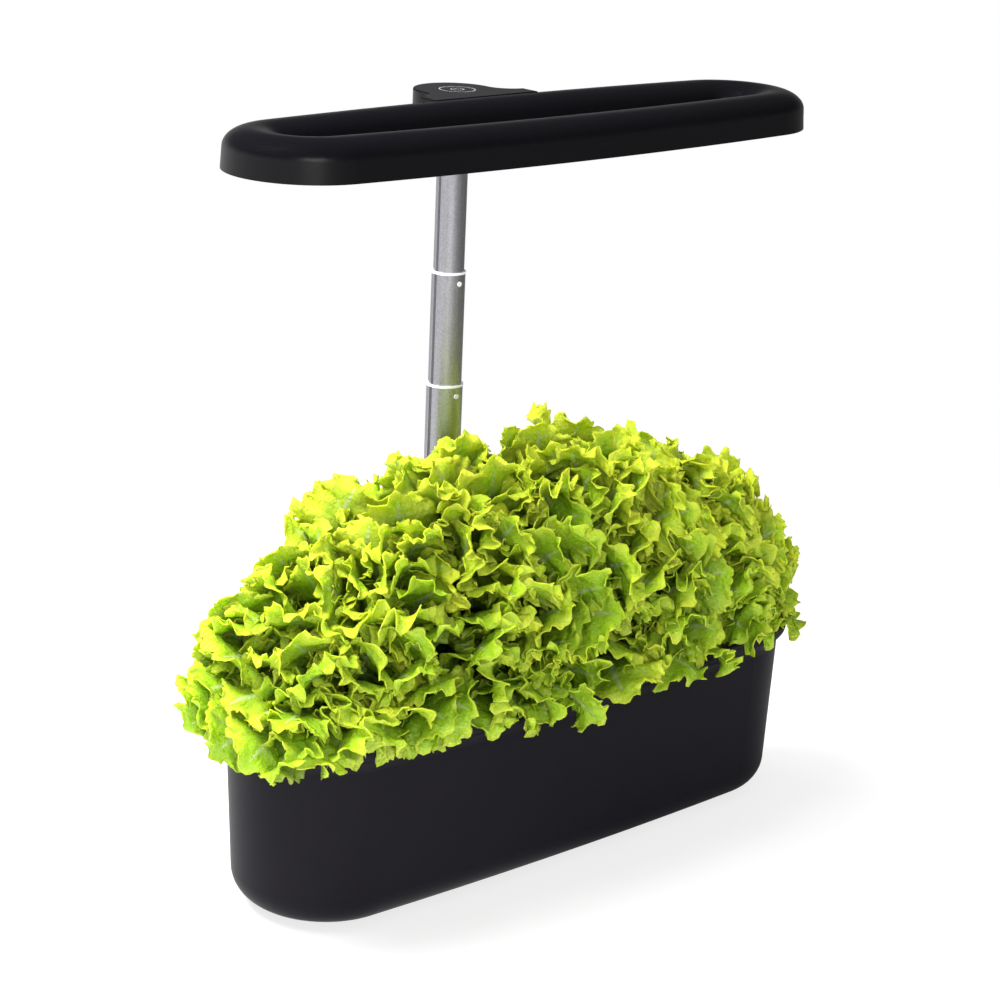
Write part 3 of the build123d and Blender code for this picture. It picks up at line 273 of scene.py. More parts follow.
def anodised_aluminium(colour, grain):
    """Drawn tube, bead blasted and clear anodised: a satin metal with a fine sparkle, partly painted into
    its colour as glints. The blasting is finer than the render shows, so its grain is drawn coarser."""
    material, tree, place = new_material("anodised_aluminium")
    sparkle = add_node(tree, "ShaderNodeTexNoise", {
        "Vector": place, "Scale": 1 / grain, "Detail": 3.0, "Roughness": 0.7})
    bump = add_node(tree, "ShaderNodeBump", {
        "Height": sparkle.outputs["Fac"], "Strength": 0.6, "Distance": 0.12 * MM})
    rough = add_node(tree, "ShaderNodeMapRange", {
        "Value": sparkle.outputs["Fac"], "From Min": 0.3, "From Max": 0.7, "To Min": 0.34, "To Max": 0.5})
    # Faint lines about 1.1 mm apart and 50 times as long, along the way the tube was drawn.
    drawn = add_node(tree, "ShaderNodeMapping", {
        "Vector": place, "Scale": (1.0, 1.0, 1 / 50)})
    lines = add_node(tree, "ShaderNodeTexNoise", {
        "Vector": drawn.outputs["Vector"], "Scale": 1 / (1.11 * MM), "Detail": 2.0})
    tint = add_node(tree, "ShaderNodeMix", {
        "Factor": lines.outputs["Fac"], "A": rgba(colour, 0.86), "B": rgba(colour, 1.1)}, data_type="RGBA")
    # The key groove down the left side lies in its own shade.
    out = add_node(tree, "ShaderNodeVectorMath", {
        0: place, 1: (0, MAST_Y * MM, 0)}, operation="SUBTRACT")
    out = add_node(tree, "ShaderNodeVectorMath", {
        0: out.outputs["Vector"], 1: (1, 1, 0)}, operation="MULTIPLY")
    out = add_node(tree, "ShaderNodeVectorMath", {0: out.outputs["Vector"]}, operation="NORMALIZE")
    left = add_node(tree, "ShaderNodeVectorMath", {
        0: out.outputs["Vector"], 1: (-1, 0, 0)}, operation="DOT_PRODUCT")
    groove = add_node(tree, "ShaderNodeMapRange", {
        "Value": left.outputs["Value"], "From Min": 0.991, "From Max": 0.996, "To Min": 1.0, "To Max": 0.42})
    tint = add_node(tree, "ShaderNodeVectorMath", {
        0: tint.outputs["Result"], 1: groove.outputs["Result"]}, operation="MULTIPLY")
    # Painted glints: the colour is lighter and darker in small spots that follow the sparkle.
    glint = add_node(tree, "ShaderNodeMapRange", {
        "Value": sparkle.outputs["Fac"], "From Min": 0.35, "From Max": 0.65, "To Min": 0.84, "To Max": 1.16})
    blasted = add_node(tree, "ShaderNodeVectorMath", {
        0: tint.outputs["Vector"], 1: glint.outputs["Result"]}, operation="MULTIPLY")
    shader = add_node(tree, "ShaderNodeBsdfPrincipled", {
        "Base Color": blasted.outputs["Vector"], "Roughness": rough.outputs["Result"], "Metallic": 1.0,
        "Normal": bump.outputs["Normal"]})
    add_node(tree, "ShaderNodeOutputMaterial", {"Surface": shader.outputs["BSDF"]})
    return material


def plated_steel():
    """Zinc plated screw steel: a dull bright metal with cloudy patches of about 1.7 mm."""
    material, tree, place = new_material("zinc_plated_steel")
    cloud = add_node(tree, "ShaderNodeTexNoise", {
        "Vector": place, "Scale": 1 / (1.67 * MM), "Detail": 3.0})
    rough = add_node(tree, "ShaderNodeMapRange", {
        "Value": cloud.outputs["Fac"], "To Min": 0.25, "To Max": 0.5})
    shader = add_node(tree, "ShaderNodeBsdfPrincipled", {
        "Base Color": rgba(srgb("#b7bac0")), "Metallic": 1.0, "Roughness": rough.outputs["Result"]})
    add_node(tree, "ShaderNodeOutputMaterial", {"Surface": shader.outputs["BSDF"]})
    return material


def foam(name, colour, pore):
    """Open-cell foam: round pores whose bottoms are darkened with painted shade."""
    material, tree, place = new_material(name)
    cells = add_node(tree, "ShaderNodeTexVoronoi", {"Vector": place, "Scale": 1 / pore})
    # Painted shade in the bottom of each pore.
    tint = add_node(tree, "ShaderNodeMix", {
        "Factor": cells.outputs["Distance"], "A": rgba(colour, 0.35), "B": rgba(colour)}, data_type="RGBA")
    bump = add_node(tree, "ShaderNodeBump", {
        "Height": cells.outputs["Distance"], "Strength": 0.8, "Distance": 0.5 * pore})
    shader = add_node(tree, "ShaderNodeBsdfPrincipled", {
        "Base Color": tint.outputs["Result"], "Roughness": 0.95, "Specular IOR Level": 0.1,
        "Normal": bump.outputs["Normal"]})
    add_node(tree, "ShaderNodeOutputMaterial", {"Surface": shader.outputs["BSDF"]})
    return material


def circuit_laminate():
    """Glass epoxy board: green solder mask, darker over square fields of copper about 4 mm across."""
    material, tree, place = new_material("green_solder_mask")
    tracks = add_node(tree, "ShaderNodeTexVoronoi", {
        "Vector": place, "Scale": 1 / (3.85 * MM)}, distance="CHEBYCHEV")
    tint = add_node(tree, "ShaderNodeMix", {
        "Factor": tracks.outputs["Distance"], "A": rgba(srgb("#0e3d22")), "B": rgba(srgb("#1d6b3a"))},
        data_type="RGBA")
    shader = add_node(tree, "ShaderNodeBsdfPrincipled", {
        "Base Color": tint.outputs["Result"], "Roughness": 0.3})
    add_node(tree, "ShaderNodeOutputMaterial", {"Surface": shader.outputs["BSDF"]})
    return material


def lettuce_leaf(settings):
    """Living leaf: waxy and thin, so it glows where it is lit from behind. The foot has painted shade, and
    the margin and young leaf are bright, partly in their own paler colour and partly with painted light,
    with a pale midrib, side veins and blisters between them."""
    material, tree, place = new_material("lettuce_leaf")
    # The map's X goes round the margin from foot to foot, and its Y from the midrib outwards.
    leaf_map = add_node(tree, "ShaderNodeUVMap", uv_map="leaf")
    axes = add_node(tree, "ShaderNodeSeparateXYZ", {"Vector": leaf_map.outputs["UV"]})
    age = add_node(tree, "ShaderNodeAttribute", attribute_name="young_and_lit")
    depth = add_node(tree, "ShaderNodeAttribute", attribute_name="depth")
    patch = add_node(tree, "ShaderNodeTexNoise", {
        "Vector": place, "Scale": 1 / (11.1 * MM), "Detail": 4.0, "Roughness": 0.65})
    # Painted shade near the foot, and a brighter margin and young leaf: partly their own paler colour,
    # partly painted light.
    off_tip = add_node(tree, "ShaderNodeMath", {0: axes.outputs["X"], 1: 0.5}, operation="SUBTRACT")
    from_tip = add_node(tree, "ShaderNodeMath", {0: off_tip.outputs["Value"]}, operation="ABSOLUTE")
    up = add_node(tree, "ShaderNodeMapRange", {
        "Value": from_tip.outputs["Value"], "From Min": 0.5, "From Max": 0.28})
    grown = add_node(tree, "ShaderNodeMix", {
        "Factor": up.outputs["Result"], "A": rgba(settings.deep), "B": rgba(settings.middle)},
        data_type="RGBA")
    margin = add_node(tree, "ShaderNodeMath", {0: axes.outputs["Y"], 1: 1.4}, operation="POWER")
    glow = add_node(tree, "ShaderNodeMath", {
        0: margin.outputs["Value"], 1: age.outputs["Fac"]}, operation="ADD")
    mottle = add_node(tree, "ShaderNodeMath", {
        0: glow.outputs["Value"], 1: patch.outputs["Fac"]}, operation="MULTIPLY")
    bright = add_node(tree, "ShaderNodeMapRange", {
        "Value": mottle.outputs["Value"], "From Min": 0.2, "From Max": 0.8})
    green = add_node(tree, "ShaderNodeMix", {
        "Factor": bright.outputs["Result"], "A": grown.outputs["Result"], "B": rgba(settings.bright)},
        data_type="RGBA")
    # Side veins about 3.4 mm apart at the margin, which lean towards the tip, and the midrib.
    lean = add_node(tree, "ShaderNodeMath", {
        0: axes.outputs["Y"], 1: 0.16, 2: from_tip.outputs["Value"]}, operation="MULTIPLY_ADD")
    ripple = add_node(tree, "ShaderNodeMath", {
        0: lean.outputs["Value"], 1: settings.side_veins * math.tau}, operation="MULTIPLY")
    comb = add_node(tree, "ShaderNodeMath", {0: ripple.outputs["Value"]}, operation="SINE")
    vein = add_node(tree, "ShaderNodeMapRange", {
        "Value": comb.outputs["Value"], "From Min": 0.86, "From Max": 1.0, "To Max": 0.35})
    rib = add_node(tree, "ShaderNodeMapRange", {
        "Value": axes.outputs["Y"], "From Max": 0.09, "To Min": 0.8, "To Max": 0.0})
    pale = add_node(tree, "ShaderNodeMath", {
        0: vein.outputs["Result"], 1: rib.outputs["Result"]}, operation="MAXIMUM")
    veined = add_node(tree, "ShaderNodeMix", {
        "Factor": pale.outputs["Value"], "A": green.outputs["Result"], "B": rgba(settings.rib)},
        data_type="RGBA")
    # Painted shade: leaf deep inside a head is darker than leaf at its outside.
    hidden = add_node(tree, "ShaderNodeMapRange", {
        "Value": depth.outputs["Fac"], "From Min": 0.15, "From Max": 0.9, "To Max": 0.75})
    coloured = add_node(tree, "ShaderNodeMix", {
        "Factor": hidden.outputs["Result"], "A": veined.outputs["Result"], "B": rgba(settings.shaded)},
        data_type="RGBA")
    # Blisters of 4 mm with 2.2 mm wrinkles on them, and the veins sunk between them.
    blister = add_node(tree, "ShaderNodeTexVoronoi", {
        "Vector": place, "Scale": 1 / (4 * MM)}, feature="SMOOTH_F1")
    wrinkle = add_node(tree, "ShaderNodeTexNoise", {
        "Vector": place, "Scale": 1 / (2.2 * MM), "Detail": 3.0})
    relief = add_node(tree, "ShaderNodeMath", {
        0: wrinkle.outputs["Fac"], 1: blister.outputs["Distance"]}, operation="SUBTRACT")
    sunk = add_node(tree, "ShaderNodeMath", {
        0: vein.outputs["Result"], 1: -0.4, 2: relief.outputs["Value"]}, operation="MULTIPLY_ADD")
    bump = add_node(tree, "ShaderNodeBump", {
        "Height": sunk.outputs["Value"], "Strength": 1.0, "Distance": 1.2 * MM})
    # The wax shines in patches of about 11 mm.
    shine = add_node(tree, "ShaderNodeMapRange", {
        "Value": patch.outputs["Fac"], "From Min": 0.35, "From Max": 0.65, "To Min": 0.16, "To Max": 0.5})
    shader = add_node(tree, "ShaderNodeBsdfPrincipled", {
        "Base Color": coloured.outputs["Result"], "Roughness": shine.outputs["Result"],
        "Specular IOR Level": 0.6, "Normal": bump.outputs["Normal"]})
    through = add_node(tree, "ShaderNodeBsdfTranslucent", {
        "Color": coloured.outputs["Result"], "Normal": bump.outputs["Normal"]})
    both = add_node(tree, "ShaderNodeMixShader", {
        0: 0.35, 1: shader.outputs["BSDF"], 2: through.outputs["BSDF"]})
    add_node(tree, "ShaderNodeOutputMaterial", {"Surface": both.outputs["Shader"]})
    return material


# ---- lettuce ----

# The mound that the leaf tips reach, in millimetres: half sizes from its peak, heights, how upright
# each side is, and how square each end is in plan.
MOUND_PEAK = Vector((-17.4, -7.5))
MOUND_LEFT, MOUND_RIGHT, MOUND_FRONT, MOUND_REAR = 203.0, 224.0, 82.0, 56.9
MOUND_LOW_Z, MOUND_TOP_Z = 102.0, 247.0
LEFT_POWER, RIGHT_POWER, FRONT_POWER, REAR_POWER = 2.0, 2.45, 3.46, 2.94
LEFT_PLAN_POWER, RIGHT_PLAN_POWER = 3.36, 2.5
HEAD_SPLITS = (-102.0, 0.0, 102.0)
TIP_TRIES = 22000

# A leaf kind's mesh: columns round its margin from foot to foot, rows from the midrib outwards,
# and the rows at the margin that are cut finer for its small frills.
LEAF_COLUMNS = 46
LEAF_ROWS = 7
FRILL_ROWS = 2
FRILL_CUTS = 2
LEAF_KINDS = 16

# Least and greatest wave lengths along a leaf's margin, in millimetres.
RUFFLE_WAVE = (11, 17)
FRILL_WAVE = (5.0, 7.0)
TOOTH_WAVE = (2.8, 3.6)

# A grown leaf: how far its foot stands from its pod's middle, the steps along its midrib, the
# height below which it hangs outwards more and more, and how deep in a head its painted shade is full.
FOOT_RADIUS = 6
MIDRIB_STEPS = 20
HANG_FROM_Z, HANG_OVER = 150, 45
SHADE_DEPTH = 30
# How much leaves differ: in size, in how far they droop, and in their twist, in radians.
BLADE_SPREAD = (0.85, 1.1)
DROOP = (0.02, 0.5)
TWIST = 1.4


def mound_point(up, turn, inset):
    """A point of the mound: up runs from its low edge, 0, to its peak, 1, and turn goes round it."""
    c, s = math.cos(turn), math.sin(turn)
    if c > 0:
        reach_x, power_x, plan = MOUND_RIGHT, RIGHT_POWER, RIGHT_PLAN_POWER
    else:
        reach_x, power_x, plan = MOUND_LEFT, LEFT_POWER, LEFT_PLAN_POWER
    reach_y, power_y = (MOUND_REAR, REAR_POWER) if s > 0 else (MOUND_FRONT, FRONT_POWER)
    x = (reach_x - inset) * math.sqrt(1 - up ** power_x) * math.copysign(abs(c) ** (2 / plan), c)
    y = (reach_y - inset) * math.sqrt(1 - up ** power_y) * math.copysign(abs(s) ** (2 / plan), s)
    z = MOUND_LOW_Z + (MOUND_TOP_Z - inset - MOUND_LOW_Z) * up
    return Vector((MOUND_PEAK.x + x, MOUND_PEAK.y + y, z))


def mound_normal(up, turn):
    """The mound's outward direction at a point, from two short steps across it."""
    step = 0.01
    around = mound_point(up, turn + step, 0) - mound_point(up, turn - step, 0)
    rise = mound_point(min(0.999, up + step), turn, 0) - mound_point(max(0.0, up - step), turn, 0)
    return around.cross(rise).normalized()


def leaf_tips(settings, rng):
    """Leaf tips spread evenly over the mound, each no nearer to another than the spacing. Cells as
    wide as the spacing hold them, so that a tip is set only against its neighbours."""
    gap = settings.spacing / MM
    tips, cells = [], {}
    for _ in range(TIP_TRIES):
        up, turn = 0.998 * rng.random() ** 0.7, rng.uniform(0, math.tau)
        tip = mound_point(up, turn, settings.unevenness / MM * rng.uniform(-0.6, 1.2))
        key = tuple(int(c // gap) for c in tip)
        near = [t for dx in (-1, 0, 1) for dy in (-1, 0, 1) for dz in (-1, 0, 1)
                for t in cells.get((key[0] + dx, key[1] + dy, key[2] + dz), ())]
        if all((tip - t).length > gap for t in near):
            cells.setdefault(key, []).append(tip)
            tips.append((tip, mound_normal(up, turn)))
    return tips


def add_leaf_layers(bm):
    """Adds a leaf's map, how young and how upward-facing it is for its paler colour and painted light, and
    how deep in its head each point lies for its painted shade.
    """
    bm.loops.layers.uv.new("leaf")
    bm.verts.layers.float.new("young_and_lit")
    bm.verts.layers.float.new("depth")


def leaf_outline(place, length, half):
    """A leaf's margin, from its foot, 0, to its tip, 1: its distance from the midrib, its place
    along the leaf, and the place on the midrib that it is joined to."""
    width = half * (0.12 * (1 - place) + max(0.0, math.sin(math.pi * place ** 1.25)) ** 0.8)
    return width, length * place ** 1.1, 0.9 * length * place ** 1.2


def leaf_kind(settings, rng):
    """One frilled leaf's bmesh, flat along +Y with its foot at 0, whose margin waves up and down."""
    length, half = settings.blade_length / MM, settings.blade_radius / MM
    bm = bmesh.new()
    bmesh.ops.create_grid(bm, x_segments=LEAF_COLUMNS, y_segments=LEAF_ROWS, size=1.0, calc_uvs=False)
    fine_from = 1 - 2 * (FRILL_ROWS + 0.5) / LEAF_ROWS
    round_edges = [edge for edge in bm.edges if abs(edge.verts[0].co.y - edge.verts[1].co.y) < 1e-6
                   and edge.verts[0].co.y > fine_from]
    bmesh.ops.subdivide_edges(bm, edges=round_edges, cuts=FRILL_CUTS, use_grid_fill=True)
    add_leaf_layers(bm)
    leaf_map = bm.loops.layers.uv["leaf"]
    for face in bm.faces:
        for loop in face.loops:
            loop[leaf_map].uv = ((loop.vert.co.x + 1) / 2, (loop.vert.co.y + 1) / 2)
    phases = [rng.uniform(0, math.tau) for _ in range(6)]
    large, small, teeth = (math.tau / rng.uniform(*wave) for wave in (RUFFLE_WAVE, FRILL_WAVE, TOOTH_WAVE))
    ruffle, frill = settings.ruffle / MM, settings.frill / MM
    seed = Vector((rng.uniform(0, 50), rng.uniform(0, 50), 0))
    round_length = 2.3 * length
    for vert in bm.verts:
        # place runs from the foot, 0, to the tip, 1, and t from the midrib, 0, to the margin, 1.
        side = 1 if vert.co.x > 0 else -1
        place, t = 1 - abs(vert.co.x), (vert.co.y + 1) / 2
        width, along, root = leaf_outline(place, length, half)
        t = 1 - (1 - t) ** 1.25
        x, y = side * width * t, root + (along - root) * t
        travelled = side * (1 - place) * round_length / 2
        # The waves die out towards the foot, and their strength and length wander on the way.
        strength = min(1.0, place / 0.22) * (0.75 + 0.6 * noise.noise(seed + Vector((travelled / 22, 0, 0))))
        wave = large * travelled + phases[0] + 1.6 * noise.noise(seed + Vector((travelled / 22, 3, 0)))
        curl = small * travelled + phases[1] + 1.9 * noise.noise(seed + Vector((travelled / 9, 6, 0)))
        tooth = teeth * travelled + phases[2] + 1.5 * noise.noise(seed + Vector((travelled / 6, 9, 0)))
        z = strength * (ruffle * t ** 1.4 * math.sin(wave) + frill * t ** 2.4 * math.sin(curl))
        z += 0.8 * t ** 8 * math.sin(tooth)
        out = strength * t ** 3 * (1.3 * math.sin(curl + phases[3])
                                   + 0.9 * t ** 6 * math.sin(tooth + phases[4]))
        out += (t ** 12 * rng.uniform(-0.9, 0.9)
                + 4 * t ** 2 * noise.noise(seed + Vector((travelled / 16, 12, 0))))
        shear = strength * t * t * (2.0 * math.sin(2 * wave) + 1.0 * math.sin(2 * curl))
        facing = Vector((side * (1 - place ** 3), 0.25 + 0.75 * place ** 2)).normalized()
        x += facing.x * out - facing.y * shear
        y += facing.y * out + facing.x * shear
        # The blade is puckered, broadly and finely, and cupped.
        z += 4.0 * noise.noise(seed + Vector((x, y, 0)) * 0.05) * t
        z += 1.8 * noise.noise(seed + Vector((x, y, 5)) * 0.15) * (1 - t ** 6)
        z += 0.20 * half * (x / half) ** 2
        vert.co = (x, y, z)
    bmesh.ops.remove_doubles(bm, verts=bm.verts, dist=0.01)
    return bm


def midrib(p0, p1, p2, p3):
    """The length so far, the place and the direction at each step of a cubic curve with these
    four controls."""
    stations, travelled, last = [], 0.0, p0
    for i in range(MIDRIB_STEPS + 1):
        a = i / MIDRIB_STEPS
        b = 1 - a
        place = (b ** 3) * p0 + 3 * b * b * a * p1 + 3 * b * a * a * p2 + (a ** 3) * p3
        along = 3 * b * b * (p1 - p0) + 6 * b * a * (p2 - p1)
        along += 3 * a * a * (p3 - p2)
        travelled += (place - last).length
        last = place
        stations.append((travelled, place, along.normalized()))
    return stations


def keep_clear(co, pod):
    """Moves a leaf's point out of the mast, the rear housing, the deck's lip, and the room that the
    fill cap, the gauge and the other pods move in."""
    x, y, z = co
    for pod_x in POD_XS:
        for pod_y in (TANK_Y - POD_ROW_Y, TANK_Y + POD_ROW_Y):
            away = math.hypot(x - pod_x, y - pod_y)
            if away < POD_ROOM and z < POD_LIFT_TOP_Z and (pod_x, pod_y) != (pod.x, pod.y):
                x, y = (p + (c - p) * POD_ROOM / max(away, 1) for p, c in ((pod_x, x), (pod_y, y)))
    off = math.hypot(x, y - MAST_Y)
    if off < MAST_CLEAR:
        x, y = x * MAST_CLEAR / max(off, 1), MAST_Y + (y - MAST_Y) * MAST_CLEAR / max(off, 1)
    if abs(x) < HOUSING_HALF + GAP and y > HOUSING_FRONT_Y - GAP and z < HOUSING_TOP_Z + GAP:
        z = HOUSING_TOP_Z + GAP
    # The tank's plan is a straight middle with round ends, so each side is measured from its axis.
    past_axis = max(0.0, abs(x) - (TANK_HALF_LENGTH - TANK_END_RADIUS))
    beyond = Vector((past_axis, y - TANK_Y)).length - TANK_END_RADIUS - GAP
    low = DECK_TOP_Z + GAP if beyond < 0 else OVERHANG_LOW_Z
    if -LIP_INSIDE < beyond < LIP_OUTSIDE:
        low = LIP_TOP_Z + GAP
    for room_x, room, top in (FILL_CAP_ROOM, GAUGE_ROOM):
        if math.hypot(x - room_x, y - TANK_Y) < room:
            low = top
    return Vector((x, max(y, FRONT_LIMIT_Y), max(z, low)))


def grow_leaf(bm, kind, pod, tip, normal, settings, rng):
    """Bends a leaf of this kind from its pod to its tip and adds it to a head."""
    flat = Vector((tip.x - pod.x, tip.y - pod.y, 0))
    foot = pod + (flat.normalized() * FOOT_RADIUS if flat.length > 1 else Vector((0, 0, 0)))
    reach = tip - foot
    span = reach.length
    flat = Vector((reach.x, reach.y, 0))
    if flat.length < 8:
        turn = rng.uniform(0, math.tau)
        flat = Vector((math.cos(turn), math.sin(turn), 0))
    flat.normalize()
    # The midrib rises from the foot and ends square to the mound, or drooping from it.
    low = min(1.0, max(0.0, (HANG_FROM_Z - tip.z) / HANG_OVER))
    droop = rng.uniform(*DROOP) + 0.25 * low
    ending = ((1 - droop) * normal + droop * (flat + Vector((0, 0, -0.25 - 0.9 * low)))).normalized()
    up = Vector((0, 0, 1))
    rising = foot + up * span * (0.38 + 0.2 * low) + flat * span * 0.08
    stations = midrib(foot, rising, tip - ending * span * 0.4, tip)
    total = stations[-1][0]
    blade = settings.blade_length / MM * rng.uniform(*BLADE_SPREAD)
    scale = blade / (settings.blade_length / MM)
    sideways = flat.cross(up) * -1
    twist = rng.uniform(-TWIST, TWIST)
    # Leaves that face up are paler: partly young leaf, partly painted light from above.
    young_and_lit_here = max(0.0, min(1.0, 0.85 * normal.z + rng.uniform(-0.35, 0.4)))
    before = len(bm.verts)
    bm.from_mesh(kind)
    bm.verts.ensure_lookup_table()
    young_and_lit, depth = bm.verts.layers.float["young_and_lit"], bm.verts.layers.float["depth"]
    start = total - blade
    last = MIDRIB_STEPS - 1
    for vert in bm.verts[before:]:
        # Find the point's place on the midrib, then set it out from there.
        x, y, z = vert.co * scale
        at = max(0.0, start + y if start > 0 else y * total / blade)
        index = min(last, int(at / total * MIDRIB_STEPS))
        while index > 0 and stations[index][0] > at:
            index -= 1
        while index < last and stations[index + 1][0] < at:
            index += 1
        d0, p0, t0 = stations[index]
        d1, p1, t1 = stations[index + 1]
        share = (at - d0) / max(1e-6, d1 - d0)
        place = p0.lerp(p1, share) if share <= 1 else p1 + t1 * (at - d1)
        along = t0.lerp(t1, min(1.0, share)).normalized()
        side = Matrix.Rotation(twist * at / total, 3, along) @ sideways
        face = side.cross(along).normalized()
        vert.co = keep_clear(place + side * x + face * z, pod)
        vert[young_and_lit] = young_and_lit_here
        # How deep the point lies in its head, for the painted shade.
        vert[depth] = (tip - vert.co).dot(normal) / SHADE_DEPTH


def lettuce_heads(settings):
    """One bmesh of leaves for each pod, keyed by the pod's number."""
    rng = random.Random(settings.seed)
    kinds = []
    for i in range(LEAF_KINDS):
        bm = leaf_kind(settings, rng)
        mesh = bpy.data.meshes.new(f"leaf_kind_{i}")
        bm.to_mesh(mesh)
        bm.free()
        kinds.append(mesh)
    heads = {number: bmesh.new() for number in POD_NUMBERS}
    for bm in heads.values():
        add_leaf_layers(bm)
    for tip, normal in leaf_tips(settings, rng):
        column = sum(tip.x > split for split in HEAD_SPLITS)
        row = 0 if tip.y < TANK_Y else 1
        pod = Vector((POD_XS[column], TANK_Y + (POD_ROW_Y if row else -POD_ROW_Y), DECK_TOP_Z + 2))
        head = heads[1 + column + len(POD_XS) * row]
        grow_leaf(head, rng.choice(kinds), pod, tip, normal, settings, rng)
    for mesh in kinds:
        bpy.data.meshes.remove(mesh)
    return heads


# ---- operators ----

class GARDEN_OT_stage(bpy.types.Operator):
    """Sets the pale floor, the soft lights and the camera"""
    bl_idname = "garden.stage"
    bl_label = "Stage"

    def execute(self, context):
        scene, settings = context.scene, context.scene.garden_stage
        scene.view_settings.view_transform = "Standard"
        self.make_floor(settings)
        self.make_room(scene, settings)
        self.make_lamp("key_softbox", KEY_PLACE, KEY_SIDE, settings.key_power)
        # These two light the leaves from above and leave no bright squares on the black lamp.
        self.make_lamp("top_softbox", TOP_PLACE, TOP_SIDE, settings.top_power).visible_glossy = False
        self.make_lamp("back_softbox", BACK_PLACE, BACK_SIDE, settings.back_power).visible_glossy = False
        self.make_camera(scene)
        return {"FINISHED"}

    def make_floor(self, settings):
        """A floor that holds the object's shadow near it and is plain white farther out."""
        bm = bmesh.new()
        bmesh.ops.create_grid(bm, x_segments=1, y_segments=1, size=settings.floor_size / 2)
        mesh = bpy.data.meshes.new("floor")
        bm.to_mesh(mesh)
        bm.free()
        floor = bpy.data.objects.new("floor", mesh)
        bpy.context.scene.collection.objects.link(floor)
        material, tree, place = new_material("painted_floor")
        away = add_node(tree, "ShaderNodeVectorMath", {0: place}, operation="LENGTH")
        far = add_node(tree, "ShaderNodeMapRange", {
            "Value": away.outputs["Value"], "From Min": NEAR_FLOOR, "From Max": FAR_FLOOR,
            "To Min": NEAR_WHITE}, interpolation_type="SMOOTHSTEP")
        camera_ray, seen = self.seen_rays(tree)
        share = add_node(tree, "ShaderNodeMath", {0: seen, 1: far.outputs["Result"]}, operation="MULTIPLY")
        side = self.lit_side(tree, place)
        glow = add_node(tree, "ShaderNodeMath", {0: camera_ray, 1: side}, operation="MAXIMUM")
        matt = add_node(tree, "ShaderNodeBsdfDiffuse", {"Color": rgba(settings.floor_colour)})
        white = add_node(tree, "ShaderNodeEmission", {"Strength": glow.outputs["Value"]})
        mixed = add_node(tree, "ShaderNodeMixShader", {
            0: share.outputs["Value"], 1: matt.outputs["BSDF"], 2: white.outputs["Emission"]})
        add_node(tree, "ShaderNodeOutputMaterial", {"Surface": mixed.outputs["Shader"]})
        mesh.materials.append(material)

    def seen_rays(self, tree):
        """Whether a ray is the camera's own, and whether it is that or a reflected or refracted one."""
        rays = add_node(tree, "ShaderNodeLightPath")
        camera_ray = rays.outputs["Is Camera Ray"]
        seen = add_node(tree, "ShaderNodeMath", {
            0: camera_ray, 1: rays.outputs["Is Glossy Ray"]}, operation="MAXIMUM")
        seen = add_node(tree, "ShaderNodeMath", {
            0: seen.outputs["Value"], 1: rays.outputs["Is Transmission Ray"]}, operation="MAXIMUM")
        return camera_ray, seen.outputs["Value"]

    def lit_side(self, tree, vector):
        """How bright the room is in a direction: a bright wall at the left rear and a dim one at the
        right front."""
        flat = add_node(tree, "ShaderNodeVectorMath", {0: vector}, operation="NORMALIZE")
        facing = add_node(tree, "ShaderNodeVectorMath", {
            0: flat.outputs["Vector"], 1: BRIGHT_SIDE}, operation="DOT_PRODUCT")
        side = add_node(tree, "ShaderNodeMapRange", {
            "Value": facing.outputs["Value"], "From Min": -0.9, "From Max": 0.9, "To Min": DIM_WALL,
            "To Max": 1.0})
        return side.outputs["Result"]

    def make_room(self, scene, settings):
        """Even light all round, which the camera sees as white and reflections see as a room with a
        bright wall and a dark ceiling."""
        world = bpy.data.worlds.new("room")
        scene.world = world
        world.use_nodes = True
        tree = world.node_tree
        tree.nodes.clear()
        camera_ray, seen = self.seen_rays(tree)
        direction = add_node(tree, "ShaderNodeTexCoord").outputs["Generated"]
        axes = add_node(tree, "ShaderNodeSeparateXYZ", {"Vector": direction})
        height = add_node(tree, "ShaderNodeMapRange", {
            "Value": axes.outputs["Z"], "From Min": 0.02, "From Max": 0.3, "To Min": 1.0, "To Max": CEILING})
        side = add_node(tree, "ShaderNodeMath", {
            0: self.lit_side(tree, direction), 1: height.outputs["Result"]}, operation="MULTIPLY")
        shown = add_node(tree, "ShaderNodeMath", {
            0: camera_ray, 1: side.outputs["Value"]}, operation="MAXIMUM")
        strength = add_node(tree, "ShaderNodeMapRange", {
            "Value": seen, "To Min": settings.room_light, "To Max": shown.outputs["Value"]})
        light = add_node(tree, "ShaderNodeBackground", {
            "Color": (1, 1, 1, 1), "Strength": strength.outputs["Result"]})
        add_node(tree, "ShaderNodeOutputWorld", {"Surface": light.outputs["Background"]})

    def make_lamp(self, name, place, side, power):
        """A square softbox that faces the object."""
        data = bpy.data.lights.new(name, "AREA")
        data.size, data.energy = side, power
        lamp = bpy.data.objects.new(name, data)
        lamp.location = place
        aim = Vector(LIGHTS_AIM) - lamp.location
        lamp.rotation_euler = aim.to_track_quat("-Z", "Y").to_euler()
        bpy.context.scene.collection.objects.link(lamp)
        return lamp

    def make_camera(self, scene):
        """The camera, turned by its azimuth and elevation and then rolled about its own axis."""
        turn = (Matrix.Rotation(math.radians(CAMERA_AZIMUTH), 4, "Z")
                @ Matrix.Rotation(math.radians(90 - CAMERA_ELEVATION), 4, "X")
                @ Matrix.Rotation(math.radians(CAMERA_ROLL), 4, "Z"))
        data = bpy.data.cameras.new("camera")
        data.lens = CAMERA_LENS
        data.clip_start, data.clip_end = 0.05, 50
        camera = bpy.data.objects.new("camera", data)
        camera.matrix_world = Matrix.Translation(CAMERA_PLACE) @ turn
        scene.collection.objects.link(camera)
        scene.camera = camera


